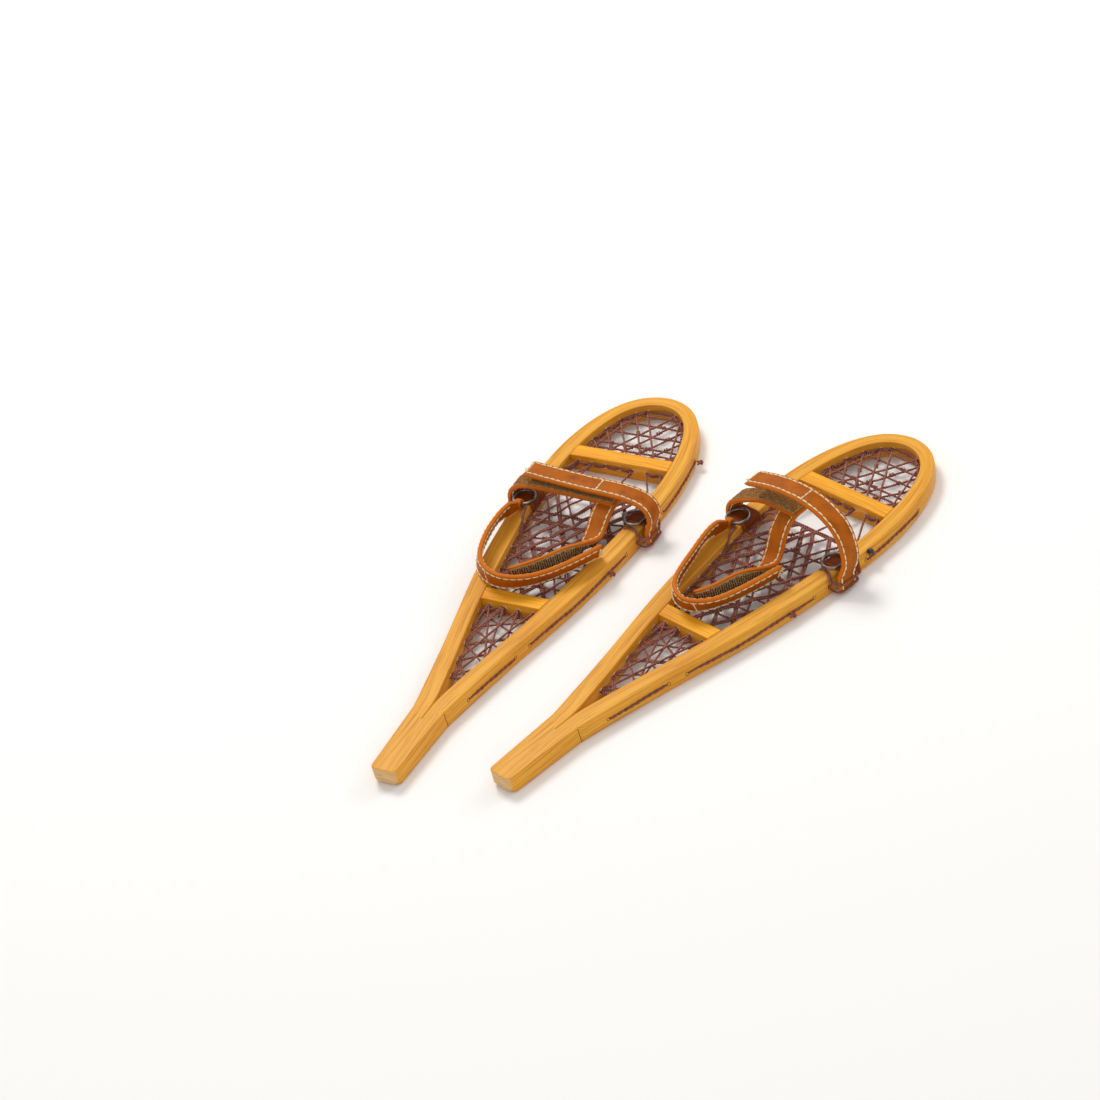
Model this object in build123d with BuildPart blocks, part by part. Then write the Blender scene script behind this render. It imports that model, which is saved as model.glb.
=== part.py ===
from build123d import *
import math
import os

# A pair of small wooden snowshoes with twine lacing and leather toe and heel straps.
# Millimetres. Each shoe is drawn in its own frame: tail end at y = 0, toe at +Y, floor at z = 0.

# --- Frame ---------------------------------------------------------------------------
SHOE_LENGTH = 330.0
RAIL_HEIGHT = 11.0
TAIL_HALF_WIDTH = 8.1
SPLICE_HALF_WIDTH = 9.9
SPLICE_Y = 50.0
SPLICE_APEX_Y = 42.0
OUTER_POINTS = [
    (SPLICE_HALF_WIDTH, SPLICE_Y),
    (21.3, 105.0),
    (33.4, 157.0),
    (41.0, 209.0),
    (43.0, 247.0),
    (36.3, 297.0),
    (16.6, 325.2),
    (0.0, SHOE_LENGTH),
]
INNER_POINTS = [
    (0.0, 56.0),
    (9.1, 97.0),
    (16.8, 129.0),
    (24.6, 172.0),
    (31.4, 217.0),
    (33.1, 245.0),
    (28.2, 292.0),
    (12.6, 318.6),
    (0.0, 322.5),
]
REAR_BAR_Y = 140.2
FRONT_BAR_Y = 268.0
BAR_WIDTH = 9.2
SEAM_WIDTH = 0.4
SEAM_DEPTH = 0.8

# --- Lacing --------------------------------------------------------------------------
TWINE = 1.2
WEB_Z = 6.0
HOLE_RADIUS = 1.0
FRONT_BAR_HOLES = [-27.0, -18.0, -9.0, 0.0, 9.0, 18.0, 27.0]
REAR_BAR_HOLES = [-14.2, -4.7, 4.7, 14.2]
TAIL_HOLES_Y = [81.5, 94.5, 108.0, 121.0, 134.5]
CENTER_HOLES_Y = [157.5, 168.0, 178.5, 189.0, 199.5, 210.0, 220.5, 231.0, 241.5]
CORNER_HOLES_Y = [241.5, 258.0]
TOE_HOLES_FROM_APEX = [5.0, 15.5, 26.0, 36.5, 47.0]

# --- Binding -------------------------------------------------------------------------
STRAP_WIDTH = 12.7
STRAP_THICKNESS = 2.5
TAPE_THICKNESS = 0.9
RING_RADIUS = 6.3
RING_WIRE = 0.85
KEEPER_THICKNESS = 1.5

# --- Where the two shoes lie: tail position and heading, before the pair is centred ----
HALF_SPREAD = 8.4
SHOES = {
    "left": dict(tail=(-30.5, 0.0), yaw=HALF_SPREAD),
    "right": dict(tail=(30.5, 24.2), yaw=-HALF_SPREAD),
}

# Centre lines of the straps. A station is a point of the centre line, the direction of the
# strap's width there and, where the end is cut square to something else, the section's normal.
ACROSS = (0.0, 1.0, 0.0)
FLAT = (1.0, 0.0, 0.0)
ON_EDGE = (0.0, 0.0, 1.0)
UP = (0.0, 0.0, 1.0)
BEND_X = 46.6
BEND_Z = 10.0
FOOT_Y = 220.5
TOE_STRAP = {
    "left": [
        ((BEND_X, FOOT_Y, BEND_Z), ACROSS, UP),
        ((48.6, 222.5, 16.0), ACROSS),
        ((46.6, 224.5, 22.6), ACROSS),
        ((39.0, 226.0, 26.2), ACROSS),
        ((26.0, 227.0, 27.7), ACROSS),
        ((3.5, 228.0, 28.1), ACROSS),
        ((-15.0, 229.0, 28.6), ACROSS),
        ((-34.0, 230.0, 29.6), ACROSS),
    ],
    "right": [
        ((BEND_X, FOOT_Y, BEND_Z), ACROSS, UP),
        ((48.0, 223.0, 15.5), ACROSS),
        ((48.0, 225.0, 26.0), ACROSS),
        ((43.8, 226.5, 35.5), ACROSS),
        ((33.5, 227.5, 44.0), ACROSS),
        ((17.0, 228.0, 48.6), ACROSS),
        ((-1.0, 228.0, 48.2), ACROSS),
        ((-24.3, 229.0, 42.0), ACROSS),
    ],
}
LOOP_STRAP_ARCH = {
    "left": [
        ((-46.2, 228.0, 1.5), ACROSS),
        ((-46.9, 228.0, 10.0), ACROSS),
        ((-45.6, 228.0, 15.5), ACROSS),
        ((-41.0, 228.0, 20.2), ACROSS),
        ((-30.0, 228.0, 22.6), ACROSS),
        ((0.0, 228.0, 21.7), ACROSS),
        ((12.0, 228.0, 21.0), ACROSS),
        ((24.35, 228.0, 20.2), ACROSS),
    ],
    "right": [
        ((-46.2, 230.0, 1.5), ACROSS),
        ((-46.9, 230.0, 11.0), ACROSS),
        ((-43.6, 230.0, 18.6), ACROSS),
        ((-33.7, 230.0, 25.0), ACROSS),
        ((-22.7, 230.0, 30.1), ACROSS),
        ((-9.9, 230.0, 33.0), ACROSS),
        ((0.0, 230.0, 33.0), ACROSS),
        ((9.85, 230.0, 32.4), ACROSS),
    ],
}
LOOP_STRAP_TONGUE = {
    "left": [
        ((18.0, 234.3, 20.6), (1.0, 0.0, -0.065)),
        ((18.0, 222.5, 20.6), (1.0, 0.0, -0.065)),
        ((18.3, 213.0, 16.2), FLAT),
        ((18.8, 204.0, 11.8), (1.0, -0.1, 0.15)),
        ((18.2, 194.5, 12.4), (0.7, -0.2, 0.7)),
        ((13.4, 182.5, 13.6), ON_EDGE),
        ((4.5, 171.5, 13.6), ON_EDGE),
        ((-9.5, 158.2, 13.6), ON_EDGE),
    ],
    "right": [
        ((3.5, 236.3, 32.9), FLAT),
        ((3.5, 224.0, 32.7), FLAT),
        ((4.0, 214.5, 23.0), FLAT),
        ((5.0, 205.5, 12.6), (1.0, -0.1, 0.15)),
        ((6.0, 196.0, 12.4), (0.7, -0.2, 0.7)),
        ((4.0, 184.0, 13.6), ON_EDGE),
        ((-0.5, 170.5, 13.6), ON_EDGE),
        ((-6.8, 157.8, 13.6), ON_EDGE),
    ],
}
TAPED_TONGUE_FROM = 2

RING_Y = 222.5
RING_Z = RAIL_HEIGHT + 3.3
RING_X = 36.2
LOOP_INNER = 1.5
LOOP_OUTER = 2.9
LOOP_WIDTH = 4.0
HEEL_Z = 17.7
HEEL_UPWARD = (0.45, -0.22, 0.865)
HEEL_END_WIDTH = 5.6
HEEL_START_Y = RING_Y - RING_RADIUS - LOOP_OUTER + 0.7
HEEL_PATH = {
    "left": [(-36.2, HEEL_START_Y), (-38.4, 203.0), (-38.3, 186.0), (-34.2, 169.0),
             (-25.2, 155.5), (-8.0, 149.3), (6.0, 154.2), (18.0, 165.0), (33.6, 188.5)],
    "right": [(-36.2, HEEL_START_Y), (-36.8, 203.0), (-32.0, 184.0), (-25.8, 166.0),
              (-16.5, 153.0), (-3.0, 150.0), (6.5, 157.0), (13.0, 169.5), (20.4, 198.0)],
}
HEEL_HOOK_FROM = 6

KEEPER_NEAR_Y = 219.5
KEEPER_FAR_Y = 234.0
ANCHOR_TOP_Z = 8.3
KNOTS = {
    "left": [(40.2, 183.8, 5.0), (42.6, 285.6, 5.0)],
    "right": [(40.2, 183.8, 5.0), (45.0, 243.0, 9.0)],
}
KNOT_RADIUS = 1.6


# --- Small tools -----------------------------------------------------------------------
def point_at_y(edge, y):
    """Parameter of the point of a rail line at the given y; the line climbs all the way."""
    low = 0.0
    high = 1.0
    for _ in range(40):
        middle = (low + high) / 2
        if edge.position_at(middle).Y < y:
            low = middle
        else:
            high = middle
    return (low + high) / 2


def hole_plane(u, side):
    """Plane at a lacing hole of the inner rail line: z_dir points out through the rail."""
    point = inner_line.position_at(u)
    along = inner_line.tangent_at(u)
    outward = Vector(along.Y, -along.X, 0)
    return Plane(
        origin=(side * point.X, point.Y, WEB_Z),
        z_dir=(side * outward.X, outward.Y, 0),
        x_dir=(0, 0, 1),
    )


def strip(start, end, width=TWINE):
    """One straight run of twine in a flat sketch."""
    middle_x = (start[0] + end[0]) / 2
    middle_y = (start[1] + end[1]) / 2
    length = math.hypot(end[0] - start[0], end[1] - start[1])
    angle = math.degrees(math.atan2(end[1] - start[1], end[0] - start[0]))
    with Locations(Location((middle_x, middle_y, 0), (0, 0, angle))):
        Rectangle(length, width)


def strap_planes(stations):
    """Section planes square to a strap's centre line, with x_dir along its width."""
    points = [Vector(*station[0]) for station in stations]
    planes = []
    for index, station in enumerate(stations):
        before = points[max(index - 1, 0)]
        after = points[min(index + 1, len(points) - 1)]
        normal = station[2] if len(station) > 2 else after - before
        planes.append(Plane(origin=points[index], x_dir=station[1], z_dir=normal))
    return planes


def shifted(planes, rise):
    """The same planes moved along the strap's thickness."""
    return [Plane(origin=p.origin + p.y_dir * rise, x_dir=p.x_dir, z_dir=p.z_dir) for p in planes]


def place(part, shoe, label):
    """Put a finished piece at its shoe's place in the pair and keep it for export."""
    tail = SHOES[shoe]["tail"]
    moved = part.moved(Location((tail[0], tail[1], 0), (0, 0, SHOES[shoe]["yaw"])))
    moved.label = f"{shoe}_{label}"
    finished.append(moved)


# --- Rail lines ------------------------------------------------------------------------
outer_line = Spline(*OUTER_POINTS, tangents=((0.13, 1), (-1, 0)))
inner_line = Spline(*INNER_POINTS, tangents=((0.16, 1), (-1, 0)))
finished = []

tail_holes = [point_at_y(inner_line, y) for y in TAIL_HOLES_Y]
center_holes = [point_at_y(inner_line, y) for y in CENTER_HOLES_Y]
corner_holes = [point_at_y(inner_line, y) for y in CORNER_HOLES_Y]
toe_holes = [1 - back / inner_line.length for back in TOE_HOLES_FROM_APEX]
SIDES = (-1, 1)


# --- Wooden frame ----------------------------------------------------------------------
def make_bow():
    with BuildPart() as bow:
        with BuildSketch():
            with BuildLine():
                add(outer_line)
                mirror(outer_line, about=Plane.YZ)
                Polyline(
                    (-SPLICE_HALF_WIDTH, SPLICE_Y),
                    (0, SPLICE_APEX_Y),
                    (SPLICE_HALF_WIDTH, SPLICE_Y),
                )
            make_face()
            with BuildLine():
                add(inner_line)
                mirror(inner_line, about=Plane.YZ)
            make_face(mode=Mode.SUBTRACT)
        extrude(amount=RAIL_HEIGHT)
        top = bow.faces().sort_by(Axis.Z)[-1]
        bottom = bow.faces().sort_by(Axis.Z)[0]
        long_top = top.outer_wire().edges().filter_by(lambda edge: edge.length > 50)
        long_bottom = bottom.outer_wire().edges().filter_by(lambda edge: edge.length > 50)
        chamfer(long_bottom, 1.4)
        chamfer(long_top, 0.6)
        for side in SIDES:
            holes = tail_holes + center_holes + corner_holes[1:] + toe_holes
            planes = [hole_plane(u, side) for u in holes]
            with Locations(*[Location(plane) for plane in planes]):
                Cylinder(HOLE_RADIUS, 34, mode=Mode.SUBTRACT)
        with BuildSketch(Plane.XY.offset(RAIL_HEIGHT - SEAM_DEPTH)):
            with Locations((0, (SPLICE_APEX_Y + INNER_POINTS[0][1]) / 2)):
                Rectangle(SEAM_WIDTH, INNER_POINTS[0][1] - SPLICE_APEX_Y - 1.0)
        extrude(amount=SEAM_DEPTH + 1, mode=Mode.SUBTRACT)
    return bow.part


def make_handle():
    with BuildPart() as handle:
        with BuildSketch():
            with BuildLine():
                Polyline(
                    (-TAIL_HALF_WIDTH, 0),
                    (TAIL_HALF_WIDTH, 0),
                    (SPLICE_HALF_WIDTH, SPLICE_Y),
                    (0, SPLICE_APEX_Y),
                    (-SPLICE_HALF_WIDTH, SPLICE_Y),
                    close=True,
                )
            make_face()
        extrude(amount=RAIL_HEIGHT)
        corners = handle.edges().filter_by(Axis.Z).group_by(Axis.Y)[0]
        fillet(corners, 2.5)
        rim = handle.faces().sort_by(Axis.Z)[0].edges().filter_by(lambda e: e.center().Y < 40)
        chamfer(rim, 1.4)
        rim = handle.faces().sort_by(Axis.Z)[-1].edges().filter_by(lambda e: e.center().Y < 40)
        chamfer(rim, 0.6)
    return handle.part


def make_crossbar(near_y, hole_xs):
    with BuildPart() as bar:
        with BuildSketch():
            with BuildLine():
                add(inner_line)
                mirror(inner_line, about=Plane.YZ)
            make_face()
            with Locations((0, near_y + BAR_WIDTH / 2)):
                Rectangle(90, BAR_WIDTH, mode=Mode.INTERSECT)
        extrude(amount=RAIL_HEIGHT)
        along = bar.edges().filter_by(Axis.X)
        chamfer(along, 0.7)
        for x in hole_xs:
            with Locations(Location((x, near_y + BAR_WIDTH / 2, WEB_Z), (90, 0, 0))):
                Cylinder(HOLE_RADIUS, BAR_WIDTH * 2, mode=Mode.SUBTRACT)
    return bar.part


# --- Lacing ----------------------------------------------------------------------------
CLEAR = 0.95          # from a wooden face to the middle of a run lying beside it
OUTSIDE_CLEAR = 0.95  # the same outside a rail; more round the toe, where the runs are chords
TOE_OUTSIDE_CLEAR = 1.7


def rail_width(plane):
    """Distance along a hole's axis from the inner to the outer rail line."""
    best_aside = None
    width = 0.0
    for k in range(801):
        point = outer_line.position_at(k / 800)
        offset = Vector(abs(point.X) - abs(plane.origin.X), point.Y - plane.origin.Y, 0)
        axis = Vector(abs(plane.z_dir.X), plane.z_dir.Y, 0)
        aside = abs(offset.cross(axis).Z)
        if offset.dot(axis) > 0 and (best_aside is None or aside < best_aside):
            best_aside = aside
            width = offset.dot(axis)
    return width


def rail_ends(u, side, outside_clear):
    """Ends of the twine through one rail hole: inside the window and outside the rail."""
    plane = hole_plane(u, side)
    inside = plane.origin - plane.z_dir * CLEAR
    outside = plane.origin + plane.z_dir * (rail_width(plane) + outside_clear)
    return (inside.X, inside.Y), (outside.X, outside.Y)


def rail_runs(holes, side, pairs, outside_clear=OUTSIDE_CLEAR):
    """Twine through every hole of one rail, and the outside runs between pairs of holes."""
    ends = [rail_ends(u, side, outside_clear) for u in holes]
    for inside, outside in ends:
        strip(inside, outside)
    for first, second in pairs:
        strip(ends[first][1], ends[second][1])
    return [inside for inside, _ in ends]


def make_toe_lacing():
    bar_near = FRONT_BAR_Y - CLEAR
    bar_far = FRONT_BAR_Y + BAR_WIDTH + CLEAR
    with BuildPart() as lacing:
        with BuildSketch(Plane.XY.offset(WEB_Z - TWINE / 2)):
            left = rail_runs(toe_holes, -1, [(0, 1), (2, 3)], TOE_OUTSIDE_CLEAR)
            right = rail_runs(toe_holes, 1, [(0, 1), (2, 3)], TOE_OUTSIDE_CLEAR)
            bar = [(x, bar_far) for x in FRONT_BAR_HOLES]
            for x in FRONT_BAR_HOLES:
                strip((x, bar_near), (x, bar_far))
            for first in (1, 3, 4):
                strip((FRONT_BAR_HOLES[first], bar_near), (FRONT_BAR_HOLES[first + 1], bar_near))
            # two families of diagonals and the rows that tie them
            for start, end in ((bar[1], left[4]), (bar[2], left[3]), (bar[3], left[2]),
                               (bar[4], left[1]), (bar[5], left[0]), (bar[6], right[1])):
                strip(start, end)
            for start, end in ((bar[5], right[4]), (bar[4], right[3]), (bar[3], right[2]),
                               (bar[2], right[1]), (bar[1], right[0]), (bar[0], left[1])):
                strip(start, end)
            for first, second in zip(left[1:], right[1:]):
                strip(first, second)
            strip(left[0], right[0])
            strip(left[4], bar[0])
            strip(right[4], bar[6])
        extrude(amount=TWINE)
    return lacing.part


def make_center_lacing():
    """The net under the foot stops at a cross cord; ahead of it the window is open."""
    rear_y = REAR_BAR_Y + BAR_WIDTH + CLEAR
    front_y = FRONT_BAR_Y - 2.0
    last = len(CENTER_HOLES_Y) - 1
    with BuildPart() as lacing:
        with BuildSketch(Plane.XY.offset(WEB_Z - TWINE / 2)):
            left = rail_runs(center_holes, -1, [(1, 2), (3, 4)])
            right = rail_runs(center_holes, 1, [(1, 2), (3, 4)])
            rear = [(x, rear_y) for x in REAR_BAR_HOLES]
            for step in (2, 3, 4):
                for index in range(last + 1 - step):
                    strip(left[index], right[index + step])
                    strip(right[index], left[index + step])
            for index in (1, 3, 5, 7, 8):
                strip(left[index], right[index])
            for index, point in enumerate(rear):
                strip(point, left[4 - index])
                strip(point, right[index + 1])
            strip(rear[0], rear[-1])
            # the corner bundles beside the open toe hole, and two single cords across it
            left_corner = rail_runs(corner_holes, -1, [(0, 1)])
            right_corner = rail_runs(corner_holes, 1, [(0, 1)])
            for corner, side in ((left_corner, -1), (right_corner, 1)):
                strip(corner[1], corner[0])
                strip(corner[1], (side * FRONT_BAR_HOLES[-1], front_y))
                strip(corner[0], (side * FRONT_BAR_HOLES[-2], front_y))
            strip((FRONT_BAR_HOLES[1], front_y), (-25.4, left[last][1]))
            strip((FRONT_BAR_HOLES[4], front_y), (3.1, left[last][1]))
        extrude(amount=TWINE)
    return lacing.part


def make_tail_lacing():
    bar_near = REAR_BAR_Y - CLEAR
    bar_far = REAR_BAR_Y + BAR_WIDTH + 0.2
    with BuildPart() as lacing:
        with BuildSketch(Plane.XY.offset(WEB_Z - TWINE / 2)):
            left = rail_runs(tail_holes, -1, [(0, 1), (2, 3), (3, 4)])
            right = rail_runs(tail_holes, 1, [(0, 1), (2, 3), (3, 4)])
            bar = [(x, bar_near) for x in REAR_BAR_HOLES]
            for x in REAR_BAR_HOLES:
                strip((x, bar_near), (x, bar_far))
            for index in range(4):
                strip(bar[index], left[3 - index + (1 if index == 0 else 0)])
                strip(bar[index], right[index + 1])
            strip(left[0], right[0])
            strip(left[1], right[2])
            strip(left[2], right[1])
            strip(left[0], right[1])
            strip(left[3], right[2])
        extrude(amount=TWINE)
    return lacing.part


# --- Leather and hardware ----------------------------------------------------------------
def make_strap(stations, thickness=STRAP_THICKNESS, rise=0.0, width=STRAP_WIDTH):
    with BuildPart() as strap:
        for plane in shifted(strap_planes(stations), rise):
            with BuildSketch(plane):
                Rectangle(width, thickness)
        loft(ruled=True)
    return strap.part


def make_loop_strap(shoe):
    """One strap: it rises from the left rail, turns the corner and hangs back as a tongue."""
    with BuildPart() as strap:
        for stations in (LOOP_STRAP_ARCH[shoe], LOOP_STRAP_TONGUE[shoe]):
            for plane in strap_planes(stations):
                with BuildSketch(plane):
                    Rectangle(STRAP_WIDTH, STRAP_THICKNESS)
            loft(ruled=True)
    return strap.part


def heel_stations(path):
    """The heel strap stands on its edge; its band as a whole leans towards its free end."""
    upward = Vector(*HEEL_UPWARD)
    stations = []
    for index, (x, y) in enumerate(path):
        before = Vector(*path[max(index - 1, 0)])
        after = Vector(*path[min(index + 1, len(path) - 1)])
        along = (after - before).normalized()
        width = (upward - along * upward.dot(along)).normalized() if index > 0 else UP
        height = HEEL_Z if index > 0 else RING_Z
        stations.append(((x, y, height), width))
    return stations


def make_heel_strap(shoe):
    """The heel strap narrows into a small loop around the wire of the left ring."""
    with BuildPart() as strap:
        for index, plane in enumerate(strap_planes(heel_stations(HEEL_PATH[shoe]))):
            with BuildSketch(plane):
                Rectangle(HEEL_END_WIDTH if index == 0 else STRAP_WIDTH, STRAP_THICKNESS)
        loft(ruled=True)
        with BuildSketch(Plane.YZ.offset(-RING_X - LOOP_WIDTH / 2)):
            with Locations((RING_Y - RING_RADIUS, RING_Z)):
                Circle(LOOP_OUTER)
        extrude(amount=LOOP_WIDTH)
        with BuildSketch(Plane.YZ.offset(-RING_X - LOOP_WIDTH / 2 - 1)):
            with Locations((RING_Y - RING_RADIUS, RING_Z)):
                Circle(LOOP_INNER)
        extrude(amount=LOOP_WIDTH + 2, mode=Mode.SUBTRACT)
    return strap.part


def make_heel_hook(shoe):
    """Hook tape on the inner face of the heel strap's free end."""
    planes = strap_planes(heel_stations(HEEL_PATH[shoe]))
    with BuildPart() as tape:
        for plane in shifted(planes, -(STRAP_THICKNESS + TAPE_THICKNESS) / 2)[HEEL_HOOK_FROM:]:
            with BuildSketch(plane):
                Rectangle(STRAP_WIDTH - 2.0, TAPE_THICKNESS)
        loft(ruled=True)
    return tape.part


def make_tape(stations, first, last, side):
    """Hook-and-loop tape along part of a strap, on one of its faces."""
    planes = strap_planes(stations)
    rise = side * (STRAP_THICKNESS + TAPE_THICKNESS) / 2
    with BuildPart() as tape:
        for plane in shifted(planes, rise)[first:last]:
            with BuildSketch(plane):
                Rectangle(STRAP_WIDTH - 1.4, TAPE_THICKNESS)
        loft(ruled=True)
    return tape.part


def make_ring(side):
    with BuildPart() as ring:
        with Locations((side * RING_X, RING_Y, RING_Z)):
            Torus(RING_RADIUS, RING_WIRE)
    return ring.part


def make_keeper(side):
    """Leather saddle over one rail, under the ring and the strap's foot."""
    outer_x = 43.1
    inner_x = 31.3
    foot = 1.2
    inside_foot = WEB_Z + TWINE / 2 + 0.6
    top = RAIL_HEIGHT + 0.05
    with BuildPart() as keeper:
        with BuildSketch(Plane.XZ.offset(-KEEPER_FAR_Y)):
            with BuildLine():
                Polyline(
                    (side * (inner_x - KEEPER_THICKNESS), inside_foot),
                    (side * inner_x, inside_foot),
                    (side * inner_x, top),
                    (side * outer_x, top),
                    (side * outer_x, foot),
                    (side * (outer_x + KEEPER_THICKNESS), foot),
                    (side * (outer_x + KEEPER_THICKNESS), top + KEEPER_THICKNESS),
                    (side * (inner_x - KEEPER_THICKNESS), top + KEEPER_THICKNESS),
                    close=True,
                )
            make_face()
        extrude(amount=KEEPER_FAR_Y - KEEPER_NEAR_Y)
    return keeper.part


def make_anchor():
    """The lashed foot of the toe strap, below its bend."""
    with BuildPart() as anchor:
        with BuildSketch(Plane.XY.offset(1.3)):
            with Locations((BEND_X, FOOT_Y)):
                Rectangle(STRAP_THICKNESS, STRAP_WIDTH)
        extrude(amount=ANCHOR_TOP_Z - 1.3)
    return anchor.part


def make_lashing(side, strap_face, strap_y):
    """Two turns of twine outside a rail that hold a strap's foot against it."""
    reach = strap_face + 0.2 + TWINE / 2
    near_y = strap_y - STRAP_WIDTH / 2 - 1.0
    far_y = strap_y + STRAP_WIDTH / 2 + 1.0
    with BuildPart() as lashing:
        for level in (3.2, 6.4):
            with BuildSketch(Plane.XY.offset(level - TWINE / 2)):
                strip((side * 45.4, 239.5), (side * reach, far_y))
                strip((side * reach, far_y + 0.3), (side * reach, near_y - 0.3))
                strip((side * reach, near_y), (side * 43.8, 203.0))
            extrude(amount=TWINE)
        with BuildSketch(Plane.XY.offset(3.2)):
            with Locations((side * 44.1, 204.0)):
                Rectangle(TWINE, TWINE)
        extrude(amount=3.2)
    return lashing.part


def make_knots(shoe):
    with BuildPart() as knots:
        with Locations(*KNOTS[shoe]):
            Sphere(KNOT_RADIUS)
    return knots.part


# --- Both shoes --------------------------------------------------------------------------
same_for_both = {
    "bow": make_bow(),
    "handle": make_handle(),
    "front_crossbar": make_crossbar(FRONT_BAR_Y, FRONT_BAR_HOLES),
    "rear_crossbar": make_crossbar(REAR_BAR_Y, REAR_BAR_HOLES),
    "toe_lacing": make_toe_lacing(),
    "center_lacing": make_center_lacing(),
    "tail_lacing": make_tail_lacing(),
    "keeper_left": make_keeper(-1),
    "keeper_right": make_keeper(1),
    "ring_left": make_ring(-1),
    "ring_right": make_ring(1),
    "toe_strap_foot": make_anchor(),
    "lashing_right": make_lashing(1, BEND_X + STRAP_THICKNESS / 2, FOOT_Y),
}
for shoe in SHOES:
    for label, part in same_for_both.items():
        place(part, shoe, label)
    arch_face = 46.9 + STRAP_THICKNESS / 2
    place(make_lashing(-1, arch_face, LOOP_STRAP_ARCH[shoe][0][0][1]), shoe, "lashing_left")
    place(make_knots(shoe), shoe, "lacing_knots")
    place(make_strap(TOE_STRAP[shoe]), shoe, "toe_strap")
    place(make_tape(TOE_STRAP[shoe], 4, 8, 1), shoe, "toe_strap_hook")
    place(make_loop_strap(shoe), shoe, "loop_strap")
    place(make_tape(LOOP_STRAP_ARCH[shoe], 3, 7, 1), shoe, "loop_tape")
    place(make_tape(LOOP_STRAP_TONGUE[shoe], TAPED_TONGUE_FROM, 8, -1), shoe, "tongue_tape")
    place(make_heel_strap(shoe), shoe, "heel_strap")
    place(make_heel_hook(shoe), shoe, "heel_strap_hook")

boxes = [piece.bounding_box() for piece in finished]
middle_x = (min(box.min.X for box in boxes) + max(box.max.X for box in boxes)) / 2
middle_y = (min(box.min.Y for box in boxes) + max(box.max.Y for box in boxes)) / 2
os.makedirs("parts", exist_ok=True)
for piece in finished:
    centred = piece.moved(Location((-middle_x, -middle_y, 0)))
    centred.label = piece.label
    export_step(centred, f"parts/{centred.label}.step")
print("pair centred at", round(middle_x, 3), round(middle_y, 3))
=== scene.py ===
import math

import bpy
import numpy as np
from mathutils import Matrix, Vector


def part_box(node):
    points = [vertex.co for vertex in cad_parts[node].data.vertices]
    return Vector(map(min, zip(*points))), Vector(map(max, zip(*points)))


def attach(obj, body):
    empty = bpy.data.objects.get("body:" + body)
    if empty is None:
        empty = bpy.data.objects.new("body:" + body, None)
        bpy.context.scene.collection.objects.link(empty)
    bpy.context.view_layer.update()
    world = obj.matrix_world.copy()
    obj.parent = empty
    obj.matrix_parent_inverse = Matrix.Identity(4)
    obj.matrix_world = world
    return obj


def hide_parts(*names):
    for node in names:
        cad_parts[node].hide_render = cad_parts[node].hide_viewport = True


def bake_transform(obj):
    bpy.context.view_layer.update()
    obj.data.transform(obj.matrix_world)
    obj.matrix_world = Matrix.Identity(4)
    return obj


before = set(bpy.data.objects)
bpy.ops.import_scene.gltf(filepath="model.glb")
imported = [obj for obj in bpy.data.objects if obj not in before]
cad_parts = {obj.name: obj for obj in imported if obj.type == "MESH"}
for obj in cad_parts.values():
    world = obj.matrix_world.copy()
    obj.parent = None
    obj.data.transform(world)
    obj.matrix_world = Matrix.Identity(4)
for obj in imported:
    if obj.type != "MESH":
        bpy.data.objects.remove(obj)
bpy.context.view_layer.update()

# A pair of small laced wooden snowshoes. Every length below is in millimetres in a shoe's own
# frame (tail end at y = 0, toe at +Y, ground at z = 0) until Mesh.build() puts it in place in metres.
MM = 0.001
YAW = {"left": 8.4, "right": -8.4}
RING_X, RING_Y, RING_Z, RING_RADIUS = 36.2, 222.5, 14.3, 6.3
RAIL_HEIGHT = 11.0
WEB_Z = 6.0
TWINE_RADIUS = 0.74
PLY_PITCH = 4.4
STRAP_WIDTH = 12.7
STRAP_THICKNESS = 2.5
STITCH_ROW = 4.6
TAPE_WIDTH = 11.0
BURNISHED = (0.0, 0.006)  # a place in the leather's UVs where it is burnished like an edge
rng = np.random.default_rng(7)


# --- Shoe frames -------------------------------------------------------------------------
def shoe_matrix(shoe):
    low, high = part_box(f"{shoe}_ring_left")
    turn = Matrix.Rotation(math.radians(YAW[shoe]), 4, "Z")
    ring = turn @ Vector((-RING_X * MM, RING_Y * MM, 0))
    centre = (low + high) / 2
    return Matrix.Translation((centre.x - ring.x, centre.y - ring.y, 0)) @ turn


PLACE = {shoe: shoe_matrix(shoe) for shoe in YAW}


def to_world(shoe, point):
    return PLACE[shoe] @ (Vector(point) * MM)


def direction(shoe, vector):
    return (PLACE[shoe].to_3x3() @ Vector(vector)).normalized()


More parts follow.
